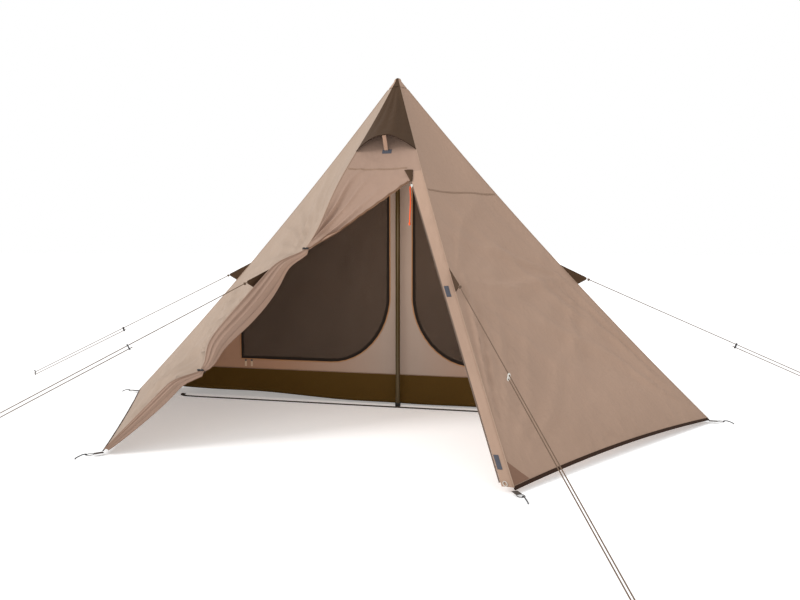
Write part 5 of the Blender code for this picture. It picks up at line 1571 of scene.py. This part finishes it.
class Vent(Assembly):
    """The cap, and the hooded roof vent with its net and the strap that props the hood open."""

    sizes = VentSizes()

    def build(self) -> None:
        """Builds cap, hood, net and prop."""
        self.build_cap()
        self.build_hood()
        self.build_net()
        self.build_prop()
        self.build_patch()

    def cap_point(self, corner: Corner, following: Corner, down: float, across: float) -> Vector:
        """A point of the cap between two ridges: the tip's dome, and from down 1 on the cloth over the fly."""
        sizes = self.sizes
        skirt, shoulder = SHAPE.share_at(sizes.cap_skirt), SHAPE.share_at(sizes.cap_shoulder)
        share = mix(shoulder, skirt, max(down - 1.0, 0.0))
        edges = [SHAPE.ridge(each, share) + each.outward * sizes.cap_stand for each in (corner, following)]
        point = mix(*edges, across)
        if corner is Corner.FRONT_LEFT:
            lift = sizes.cap_over_hood * max(down - 1.0, 0.0) * bow(across)
            point += SHAPE.outward(corner, following) * lift
        if down >= 1.0:
            return point
        turn = math.pi / 2.0 * (1.0 - down)
        level = Vector((point.x, point.y, 0.0)) * math.cos(turn)
        return level + UP * mix(sizes.cap_shoulder, sizes.cap_peak, math.sin(turn))

    def build_cap(self) -> None:
        """The cloth cap over the ridges, which carries the hood's dark wedge up to its rounded tip."""
        around = sorted(Corner, key=lambda corner: corner.value)
        rows = steps(6) + [1.0 + share for share in steps(8)[1:]]
        build = bmesh.new()
        for corner, following in zip(around, around[1:] + around[:1]):
            place = partial(self.cap_point, corner, following)
            index = 1 if corner is Corner.FRONT_LEFT else 0
            grid_into(build, place, rows, steps(8), size=(0.05, 0.03), index=index)
        mesh = mesh_of(build, "cap_cloth", lambda point: Vector((point.x, point.y, 0.3)))
        rest = {"slot": "brown_fabric", "replaced": ["apex_cap"], "thickness": self.sizes.cloth}
        # The cap's cloth takes the right side's tinted copy of the fly cloth, whose colour holds painted shade.
        self.add("cap_cloth", mesh, ["fly_cloth_right", "brown_cloth"], **rest)

    def hood_point(self, down: float, across: float) -> Vector:
        """A point of the hood with soft folds that run from its top to its lip."""
        point = SHAPE.hood(down, across)
        folds = 0.45 * math.sin(9.0 * across + 2.0) + 0.30 * math.sin(21.0 * across + 0.6)
        drift = noise.noise(Vector((across * 4.0, down * 3.0, 1.7)))
        window = smooth_step(bow(across)) * bow(min(down, 1.0) * 0.75)
        return point + SHAPE.door_normal * (self.sizes.hood_fold * (folds + drift) * window)

    def build_hood(self) -> None:
        """The hood's sheet with a bound lip."""
        sizes = self.sizes
        rows, columns, normal = steps(30), steps(44), SHAPE.door_normal
        rest = {"slot": "brown_fabric", "replaced": ["vent_hood"], "thickness": sizes.cloth}
        axes = (SHAPE.door_side, UP)
        hood = self.add_sheet("vent_hood_cloth", self.hood_point, rows, columns, "brown_cloth", normal, axes, **rest)
        width = path_length([self.hood_point(1.0, across) for across in columns])
        height = path_length([self.hood_point(down, 0.5) for down in rows])
        lip = [self.hood_point(0.996, across) + normal * sizes.lip_lift for across in columns]
        self.add("hood_lip_binding", line_mesh(lip, sizes.lip_radius), ["hem_tape"], slot="brown_fabric")

    def build_net(self) -> None:
        """The vent's net, a little larger than its hole and behind the cloth."""
        sizes = self.sizes
        margin = sizes.net_margin / SHAPE.ridge_length
        first = SHAPE.share_at(SHAPE.vent_top_height) - margin
        last = SHAPE.share_at(SHAPE.vent_bottom_height) + margin
        normal = SHAPE.door_normal

        def place(down: float, across: float) -> Vector:
            """A point of the net."""
            return SHAPE.front(mix(first, last, down), mix(*sizes.net_across, across)) - normal * sizes.net_depth

        rest = {"slot": "mesh_fabric", "replaced": ["vent_mesh"], "thickness": 0.0004}
        axes = (SHAPE.door_side, UP)
        net = self.add_sheet("vent_net", place, steps(12), steps(16), "vent_netting", normal, axes, **rest)
        width = (place(1.0, 1.0) - place(1.0, 0.0)).length
        height = (place(1.0, 0.5) - place(0.0, 0.5)).length

    def build_prop(self) -> None:
        """The stiff prop strap, from the hood's lip to the hook patch on the front side."""
        sizes = self.sizes
        left, right = SHAPE.hood(1.0, 0.0), SHAPE.hood(1.0, 1.0)
        across = (sizes.prop_sideways - left.x) / (right.x - left.x)
        height = SHAPE.hood_top_height - SHAPE.hood_corner_height
        edge = SHAPE.hood(1.0 - sizes.prop_inset / height, across)
        top = edge - SHAPE.door_normal * (sizes.fabric + sizes.prop_thickness + 2.0 * sizes.gap)
        foot = SHAPE.front_at(sizes.prop_foot_height, sizes.prop_sideways)
        foot += SHAPE.door_normal * (sizes.prop_thickness + sizes.gap)
        top.x = foot.x
        normal = RIGHTWARD.cross((foot - top).normalized())
        normal = normal if normal.y < 0.0 else -normal
        points = line_between(top, foot, 12)
        rest = {"body": "vent_prop", "slot": "tan_webbing", "replaced": ["vent_prop_strap"]}
        rest |= {"thickness": sizes.prop_thickness, "offset": 0.0}
        self.add_strip("vent_prop_webbing", points, normal, sizes.prop_width, "tan_webbing", normal, **rest)

    def build_patch(self) -> None:
        """The hook patch that holds the prop's foot."""
        sizes = self.sizes

        def place(down: float, share: float) -> Vector:
            """A point of the patch on the front side."""
            x = sizes.prop_sideways + mix(*sizes.patch_sideways, share)
            return SHAPE.front_at(mix(*sizes.patch_heights, down), x) + SHAPE.door_normal * sizes.patch_lift

        rest = {"size": (0.026, 0.013), "slot": "grey_webbing", "thickness": 0.0005}
        self.add_sheet("prop_hook_patch", place, steps(4), steps(6), "hook_patch", SHAPE.door_normal, **rest)


@dataclass(frozen=True)
class CornerSizes:
    """Guy tabs and the fittings at the six hem corners. Lengths are in metres."""

    tab_top: float = 0.795
    tab_bottom: float = 0.692
    tip_width: float = 0.012
    tab_gap: float = 0.0008
    tab_wave: float = 0.0016
    tab_thickness: float = 0.0014
    tie_width: float = 0.024
    tie_length: float = 0.033
    tie_overlap: float = 0.006
    tie_thickness: float = 0.0018
    ring_height: float = 0.010
    wire: float = 0.0016
    ring_length: float = 0.018
    ring_width: float = 0.014
    seam_gap: float = 0.0006
    binding: float = 0.014
    gap: float = 0.0003


class Corners(Assembly):
    """Guy tabs, webbing, rings and pegs at the corners."""

    sizes = CornerSizes()

    def build(self) -> None:
        """Builds the fittings of every corner."""
        for corner in Corner:
            self.build_tab(corner)
            self.build_tie(corner)
            self.dress_node("corner_peg_" + corner.label, "dark_steel")

    def build_tab(self, corner: Corner) -> None:
        """The cloth gusset that a guy line pulls on."""
        sizes = self.sizes
        tip = SHAPE.tab_tip(corner)

        def place(down: float, across: float) -> Vector:
            """A point between the ridge and the tab's blunt tip."""
            share = SHAPE.share_at(mix(sizes.tab_top, sizes.tab_bottom, down))
            root = SHAPE.ridge(corner, share) + corner.outward * sizes.tab_gap
            end = tip + UP * sizes.tip_width * (0.5 - down)
            point = mix(root, end, across)
            drift = noise.noise(Vector((down * 3.0, across * 2.0, corner.value)))
            return point + corner.sideways * sizes.tab_wave * drift * bow(across)

        size = (SHAPE.tab_reach, sizes.tab_top - sizes.tab_bottom)
        rest = {"size": size, "slot": "brown_fabric", "replaced": ["guy_tab_" + corner.label]}
        rest |= {"thickness": sizes.tab_thickness, "offset": 0.0}
        self.add_sheet("tab_cloth_" + corner.label, place, steps(12), steps(10), "brown_cloth", **rest)

    def build_tie(self, corner: Corner) -> None:
        """The webbing loop at the hem corner and its oval ring."""
        sizes = self.sizes
        fall = (SHAPE.ridge(corner, 1.0) - SHAPE.ridge(corner, 0.97)).normalized()
        start = SHAPE.corner_radius + (sizes.seam_gap + sizes.binding) * math.hypot(fall.x, fall.y) + sizes.gap
        end = start + sizes.tie_length
        height = UP * sizes.ring_height
        points = [corner.outward * mix(start - sizes.tie_overlap, end, share) + height for share in steps(14)]
        name, rest = "corner_webbing_" + corner.label, {"slot": "grey_webbing", "lift": 0.0006, "offset": 0.0}
        rest |= {"replaced": ["corner_tie_" + corner.label], "thickness": sizes.tie_thickness}
        self.add_strip(name, points, UP, sizes.tie_width, "grey_webbing", UP, **rest)
        centre = end + sizes.ring_length - sizes.wire
        oval = []
        for turn in turns(36):
            out = corner.outward * (centre + sizes.ring_length * math.cos(turn))
            oval.append(out + corner.sideways * sizes.ring_width * math.sin(turn) + height)
        self.add("corner_ring_" + corner.label, line_mesh(oval, sizes.wire, closed=True), ["steel"])


class Pole(Assembly):
    """The three-piece pole with its foot."""

    def build(self) -> None:
        """Dresses the pole's solids, which keep their shape."""
        for node in ("pole_lower", "pole_middle", "pole_upper"):
            self.dress_node(node, "pole_paint")
        self.dress_node("pole_foot", "black_plastic")


@dataclass(frozen=True)
class InnerSizes:
    """The half-size inner tent behind the pole. Lengths are in metres."""

    front: float = 0.070
    half_width: float = 1.350
    back_radius: float = 1.375
    top_height: float = 1.620
    top_half_width: float = 0.045
    top_depth: float = 0.030
    sag: float = 0.045
    tray_height: float = 0.168
    tray_spread: float = 0.030
    door_centre: float = 0.066
    door_outer: float = 0.980
    door_bottom: float = 0.225
    door_outer_top: float = 0.470
    corner_width: float = 0.350
    corner_height: float = 0.390
    door_gap: float = 0.0008
    gap: float = 0.0003
    cloth: float = 0.0009
    walls_flat: tuple[float, float] = (4.2, 1.95)
    floor_flat: tuple[float, float] = (3.1, 1.7)
    band_width: float = 0.016
    band_inset: float = 0.0088
    piping_radius: float = 0.0030
    piping_offset: float = 0.0036
    bottom_height: float = 0.0012
    rim_radius: float = 0.0018
    pole_radius: float = 0.0125
    strap_width: float = 0.020
    strap_middle: float = 1.690
    strap_top: float = 1.740
    ground_bend: float = 0.045
    ground_half: float = 1.345
    ground_width: float = 0.025
    ground_height: float = 0.0016
    pull_width: float = 0.0124
    slider: tuple[float, float, float] = (0.0094, 0.0034, 0.0120)

    @property
    def slope(self) -> float:
        """How steeply the front wall narrows upwards."""
        return (self.top_height - self.tray_height) / (self.half_width - self.top_half_width)

    @property
    def rounded(self) -> float:
        """How far from the middle the rounded part of a door's lower edge ends."""
        return self.door_centre + self.corner_width

    def door_low(self, x: float) -> float:
        """The height of a door's lower edge, rounded towards the centre."""
        reach = (self.rounded - x) / self.corner_width
        if reach <= 0.0:
            return self.door_bottom
        return self.door_bottom + self.corner_height * (1.0 - math.sqrt(max(1.0 - min(reach, 1.0) ** 2, 0.0)))

    def door_high(self, x: float) -> float:
        """The height of a door's sloping top edge."""
        return self.door_outer_top + (self.door_outer - x) * self.slope

    def wall_top(self, x: float) -> float:
        """The height of the front wall's upper edge."""
        return self.top_height - max(x - self.top_half_width, 0.0) * self.slope

    def outline(self, spread: float, top: bool = False) -> list[Vector]:
        """Four corners of the half hexagon, from the front left round the back."""
        half = self.half_width + 1.3 * spread
        radius = self.back_radius + 1.15 * spread
        front, back_x, back_y = self.front - spread, radius * 0.5, radius * math.sqrt(0.75)
        if top:
            half, front = self.top_half_width, self.front
            back_x, back_y = half / 2.0, self.front + self.top_depth
        corners = ((-half, front), (-back_x, back_y), (back_x, back_y), (half, front))
        return [Vector((x, y, 0.0)) for x, y in corners]


class InnerTent(Assembly):
    """Front wall with two netting doors, three back walls, bathtub floor, straps and sliders."""

    sizes = InnerSizes()

    def build(self) -> None:
        """Builds the inner tent from its floor upwards."""
        self.build_floor()
        self.build_front()
        for side in Side:
            self.build_door(side)
        self.build_walls()
        self.build_hanging_strap()
        self.build_ground_strap()
        for side in Side:
            for place in ("outer", "inner"):
                self.build_slider(f"inner_slider_{side.label}_{place}")

    def columns(self) -> list[float]:
        """The distances from the middle that the front wall's columns fall on."""
        sizes = self.sizes
        rounded = [
            sizes.door_centre + sizes.corner_width * (1.0 - math.cos(math.pi / 2.0 * step / 12)) for step in range(13)
        ]
        inside = [0.0, 0.0225, sizes.top_half_width]
        middle = spaced([rounded[-1], sizes.door_outer], [14])[1:]
        return inside + rounded + middle + spaced([sizes.door_outer, sizes.half_width], [9])[1:]

    def front_point(self, down: float, x: float) -> Vector:
        """A point of the front wall by its row: 0 base, 1 the doors' lower edge, 2 their top edge, 3 the top."""
        sizes = self.sizes
        away = abs(x)
        base, top = sizes.tray_height + sizes.gap, sizes.wall_top(away)
        if away > sizes.door_outer:
            share = (away - sizes.door_outer) / (sizes.half_width - sizes.door_outer)
            low, high = mix(sizes.door_bottom, base, share), mix(sizes.door_outer_top, top, share)
        else:
            beside = max(away, sizes.door_centre)
            low, high = sizes.door_low(beside), min(sizes.door_high(beside), top)
        if down <= 1.0:
            height = mix(base, low, down)
        elif down <= 2.0:
            height = mix(low, high, down - 1.0)
        else:
            height = mix(high, top, down - 2.0)
        drift = noise.noise(Vector((x * 3.1, height * 2.3, 8.8)))
        return Vector((x, sizes.front + sizes.cloth + 0.0008 * drift, height))

    def in_cut(self, cut: str, down: float, x: float) -> bool:
        """Whether a face of the front wall belongs to one of the cuts that it is sewn from."""
        sizes = self.sizes
        away = abs(x)
        side = Side.LEFT if x < 0.0 else Side.RIGHT
        if down < 1.0:
            return cut == ("base" if away < sizes.rounded else "sill_" + side.label)
        if away < sizes.door_centre:
            return cut == "column"
        return cut == "slope_" + side.label and not (down < 2.0 and away < sizes.door_outer)

    def build_front(self) -> None:
        """The front wall round the two doors, sewn from six cuts."""
        sizes = self.sizes
        near = self.columns()
        acrosses = [-x for x in reversed(near)] + near[1:]
        rows = steps(5) + [1.0 + share for share in steps(20)[1:]] + [2.0 + share for share in steps(5)[1:]]
        inner_low = sizes.door_low(sizes.door_centre)
        sill = (sizes.half_width - sizes.rounded, sizes.door_bottom - sizes.tray_height)
        long = math.hypot(sizes.half_width - sizes.top_half_width, sizes.top_height - sizes.tray_height)
        deep = (sizes.wall_top(sizes.door_outer) - sizes.door_bottom) / math.hypot(1.0, sizes.slope)
        cuts = {
            "base": (2.0 * sizes.rounded, inner_low - sizes.tray_height),
            "column": (2.0 * sizes.door_centre, sizes.wall_top(0.0) - inner_low),
            "sill_left": sill,
            "sill_right": sill,
            "slope_left": (deep, long),
            "slope_right": (deep, long),
        }
        for cut, flat in cuts.items():
            rest = {"axes": (RIGHTWARD, UP), "keep": partial(self.in_cut, cut), "slot": "inner_fabric"}
            rest |= {"replaced": ["inner_front_wall"] if cut == "base" else [], "thickness": sizes.cloth}
            name = "inner_front_" + cut
            wall = self.add_sheet(name, self.front_point, rows, acrosses, "inner_cloth", AHEAD, **rest)

    def door_point(self, side: Side, down: float, x: float) -> Vector:
        """A point of a netting door with slack folds, by its height share and its distance from the middle."""
        sizes = self.sizes
        point = Vector((side.value * x, 0.0, mix(sizes.door_low(x), sizes.door_high(x), down)))
        slack = bow(down) * smooth_step(bow((x - sizes.door_centre) / (sizes.door_outer - sizes.door_centre)))
        drift = noise.noise(Vector((point.x * 3.4, point.z * 2.6, 2.2)))
        fold = crest(19.0 * point.z + 13.0 * x + 6.0 * drift) + 0.6 * crest(31.0 * x - 6.0 * point.z + 5.0 * drift)
        point.y = sizes.front + 0.0004 + slack * (0.010 * drift + 0.011 * fold)
        return point

    def build_door(self, side: Side) -> None:
        """One netting door with the dark band and the piping round its free edge."""
        sizes = self.sizes
        columns = [x for x in self.columns() if sizes.door_centre - 1e-6 <= x <= sizes.door_outer + 1e-6]
        columns[0] += sizes.door_gap
        columns[-1] -= sizes.door_gap
        place = partial(self.door_point, side)
        node = "inner_door_" + side.label
        rest = {"axes": (RIGHTWARD, UP), "body": node, "slot": "mesh_fabric", "replaced": [node], "thickness": 0.0005}
        door = self.add_sheet("netting_" + node, place, steps(24), columns, "door_netting", AHEAD, **rest)
        flat = (sizes.door_outer - sizes.door_centre, sizes.door_high(sizes.door_centre) - sizes.door_bottom)
        edge = [place(1.0 - share, columns[0]) for share in steps(20)[1:]] + [place(0.0, x) for x in columns[1:]]
        edge += [place(share, columns[-1]) for share in steps(8)[1:-1]]
        middle = Vector((side.value * 0.58, sizes.front, 0.55))
        band, line = [], []
        for point in edge:
            inward = Vector((middle.x - point.x, 0.0, middle.z - point.z)).normalized()
            level = Vector((point.x, sizes.front, point.z))
            band.append(level + AHEAD * 0.0010 + inward * sizes.band_inset)
            line.append(level + AHEAD * 0.0008 - inward * sizes.piping_offset)
        rest = {"lift": 0.0006, "body": node, "slot": "mesh_fabric", "thickness": 0.0004}
        self.add_strip("door_band_" + side.label, band, AHEAD, sizes.band_width, "door_band", AHEAD, **rest)
        mesh = line_mesh(line, sizes.piping_radius, sides=1)
        self.add("door_piping_" + side.label, mesh, ["inner_piping"], slot="inner_tan")

    def edge_point(self, index: int, down: float) -> Vector:
        """A point of the seam between two walls. The seams at the back hang inwards."""
        sizes = self.sizes
        top = sizes.outline(0.0, top=True)[index] + UP * sizes.top_height
        bottom = sizes.outline(0.0)[index] + UP * (sizes.tray_height + sizes.gap)
        point = mix(top, bottom, down)
        if index in (1, 2):
            level = bottom - Vector((0.0, sizes.front, bottom.z))
            point = point - level.normalized() * sizes.sag * bow(down)
        return point

    def wall_point(self, index: int, down: float, across: float) -> Vector:
        """A point of one wall behind the front wall, which bows inwards a little."""
        left, right = self.edge_point(index, down), self.edge_point(index + 1, down)
        if index == 0:
            left = left + (right - left).normalized() * 0.004
        if index == 2:
            right = right + (left - right).normalized() * 0.004
        point = mix(left, right, across)
        inward = Vector((-point.x, -(point.y - 0.3), 0.0)).normalized()
        drift = noise.noise(Vector((point.x * 2.6, point.y * 2.6, point.z * 1.8)))
        return point + inward * bow(across) * (0.012 + 0.008 * drift) * bow(down)

    def build_walls(self) -> None:
        """The three cloth walls behind the front wall, in one sheet."""
        build = bmesh.new()
        for index in range(3):
            grid_into(build, partial(self.wall_point, index), steps(36), steps(24), size=(1.3, 1.7))
        mesh = mesh_of(build, "inner_back_cloth", lambda point: Vector((point.x, point.y, 0.0)))
        nodes = ["inner_wall_back_left", "inner_wall_back", "inner_wall_back_right"]
        rest = {"slot": "inner_tan", "replaced": nodes, "thickness": self.sizes.cloth}
        walls = self.add("inner_back_cloth", mesh, ["inner_tan_cloth"], **rest)

    def stand(self, x: float, down: float, across: float) -> float:
        """How high the floor stands off the ground: only at the front, where its left end stands highest.

        Args:
            x: the place's X.
            down: from the front, 0, to the back, 1.
            across: from the left, 0, to the right, 1.

        Returns:
            The height in metres.
        """
        wave = noise.noise(Vector((x * 2.7, 0.3, 6.6)))
        free_edge = 0.010 + 0.030 * smooth_step((-x - 0.1) / 1.1) + 0.007 * wave
        return free_edge * smooth_step((1.0 - across) * 8.0) * smooth_step(1.0 - down * 4.0)

    def build_floor(self) -> None:
        """The bathtub floor: a flat bottom with low leaning walls and a bound rim."""
        sizes = self.sizes
        low, high = sizes.outline(sizes.tray_spread), sizes.outline(0.0)
        build = bmesh.new()
        wide, deep = steps(36), steps(18)

        def bottom(down: float, across: float) -> Vector:
            """A point of the flat bottom, creased where it lies free."""
            point = mix(mix(low[0], low[3], across), mix(low[1], low[2], across), down)
            drift = noise.noise(Vector((point.x * 4.0, point.y * 4.0, 0.5)))
            lift = 0.0028 * (drift + 0.5) * smooth_step(bow(across)) * smooth_step(bow(down))
            lift = max(lift, self.stand(point.x, down, across), 0.0)
            return Vector((point.x, point.y, sizes.bottom_height + lift))

        def wall(start: int, end: int, up: float, across: float) -> Vector:
            """A point of one low wall, which sags between its corners."""
            foot = mix(low[start], low[end], across) + UP * sizes.bottom_height
            if start == 0:
                foot += UP * self.stand(foot.x, *((0.0, across) if end == 3 else (across, 0.0)))
            rim = mix(high[start], high[end], across) + UP * sizes.tray_height
            point = mix(foot, rim, up)
            inward = Vector((-point.x, 0.6 - point.y, 0.0)).normalized()
            drift = noise.noise(Vector((point.x * 5.0, point.y * 5.0, point.z * 3.0)))
            return point + inward * bow(across) * bow(up) * (0.006 + 0.005 * drift)

        grid_into(build, bottom, deep, wide, (RIGHTWARD, BACKWARD))
        for start, end, shares in ((0, 1, deep), (1, 2, wide), (3, 2, deep), (0, 3, wide)):
            grid_into(build, partial(wall, start, end), steps(8), shares, size=(1.5, 0.17))
        mesh = mesh_of(build, "bathtub_cloth", lambda point: Vector((point.x, point.y - 0.6, -0.5)))
        rest = {"slot": "floor_fabric", "replaced": ["inner_floor"], "thickness": sizes.cloth}
        tub = self.add("bathtub_cloth", mesh, ["floor_cloth"], **rest)
        rim = []
        for start, end in zip(high, high[1:] + high[:1]):
            rim += [point + UP * (sizes.tray_height - 0.002) for point in line_between(start, end, 12)[:-1]]
        mesh = line_mesh(rim, sizes.rim_radius, closed=True)
        self.add("bathtub_rim", mesh, ["seam_tape"], slot="inner_fabric")

    def build_hanging_strap(self) -> None:
        """The strap that hangs the inner tent from the pole."""
        sizes = self.sizes
        behind = sizes.pole_radius + sizes.gap + 0.0015
        foot = Vector((0.0, sizes.front - sizes.gap, sizes.top_height + sizes.gap))
        bend = Vector((0.0, behind + 0.006, sizes.strap_middle))
        top = Vector((0.0, behind, sizes.strap_top))
        points = line_between(foot, bend, 8)[:-1] + line_between(bend, top, 6)
        rest = {"slot": "tan_webbing", "replaced": ["inner_hanging_strap"], "thickness": 0.0014}
        self.add_strip("inner_hanging_webbing", points, BACKWARD, sizes.strap_width, "tan_webbing", **rest)

    def build_ground_strap(self) -> None:
        """The strap across the ground in front, which turns back to the tray at both ends."""
        sizes = self.sizes
        front, bend, half = sizes.front - sizes.tray_spread - sizes.gap, sizes.ground_bend, sizes.ground_half
        quarter = [
            (half, front),
            (half, front - 0.4 * bend),
            (half - 0.35 * bend, front - bend),
            (half - bend, -0.028),
            (half - 3.0 * bend, -0.034),
        ]
        knots = [Vector((-x, y, sizes.ground_height)) for x, y in quarter]
        knots += [Vector((x, y, sizes.ground_height)) for x, y in reversed(quarter)]
        line = []
        for start, end in zip(knots, knots[1:]):
            line += line_between(start, end, 40 if end.x - start.x > 1.0 else 3)[:-1]
        line.append(knots[-1])
        rest = {"slot": "grey_webbing", "replaced": ["ground_strap"], "thickness": 0.0022, "offset": 0.0}
        self.add_strip("ground_webbing", line, UP, sizes.ground_width, "grey_webbing", UP, **rest)

    def build_slider(self, name: str) -> None:
        """One zip slider of a door, with its webbing pull."""
        sizes = self.sizes
        low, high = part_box(name)
        centre = (low + high) / 2.0
        build = bmesh.new()
        made = bmesh.ops.create_cube(build, size=1.0)["verts"]
        bmesh.ops.scale(build, verts=made, vec=sizes.slider)
        bmesh.ops.bevel(build, geom=build.edges[:], offset=0.0012, segments=3, affect="EDGES", profile=0.5)
        bmesh.ops.translate(build, verts=build.verts[:], vec=(centre.x, centre.y, high.z - 0.0066))
        mesh = mesh_of(build, "slider_body_" + name)
        self.add("slider_body_" + name, mesh, ["steel"], body=name, replaced=[name])
        points = [Vector((centre.x, centre.y, mix(high.z - 0.012, low.z + 0.0005, share))) for share in steps(6)]
        rest = {"body": name, "slot": "tan_webbing", "thickness": 0.0016, "offset": 0.0}
        self.add_strip("slider_pull_" + name, points, AHEAD, sizes.pull_width, "pull_webbing", **rest)


@dataclass(frozen=True)
class PullSizes:
    """The zip's cord and its end knot, in metres."""

    length: float = 0.190
    radius: float = 0.0032
    swing: float = 0.0022
    knot_radius: float = 0.0058


class ZipPull(Assembly):
    """The long orange cord that hangs from the door's slider."""

    sizes = PullSizes()

    def build(self) -> None:
        """Builds the limp cord and its end knot."""
        sizes = self.sizes
        low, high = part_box("door_zip_pull_cord")
        middle = (low + high) / 2.0
        points = []
        for share in steps(40):
            swing = sizes.swing * math.sin(5.0 * share) * smooth_step(share * 3.0)
            points.append(Vector((middle.x + swing, middle.y, high.z - sizes.length * share)))
        rest = {"body": "door_zip_slider", "slot": "orange_cord"}
        curve = line_curve("zip_pull", points, sizes.radius)
        cord = self.add("zip_pull", curve, ["pull_cord"], replaced=["door_zip_pull_cord"], **rest)
        build = bmesh.new()
        bmesh.ops.create_uvsphere(build, u_segments=20, v_segments=12, radius=sizes.knot_radius)
        bmesh.ops.scale(build, verts=build.verts[:], vec=(1.0, 1.0, 1.25))
        bmesh.ops.translate(build, verts=build.verts[:], vec=points[-3])
        knot = self.add("zip_pull_knot", mesh_of(build, "zip_pull_knot"), ["pull_cord"], **rest)
        path_length(points)


def main() -> None:
    """Builds the studio and the tent."""
    logging.basicConfig(level=logging.INFO, format="%(message)s")
    Studio().build()
    groups = {"woven": PATTERNS.woven(), "crumple": PATTERNS.crumple(), "stitch": PATTERNS.stitch()}
    materials = {finish.name: finish.material(groups) for finish in FINISHES}
    for kind in (GuyLines, ZipPull, Fly, Vent, Corners, Pole, InnerTent):
        assembly = kind(materials)
        assembly.build()
        assembly.report()


if __name__ == "__main__":
    main()
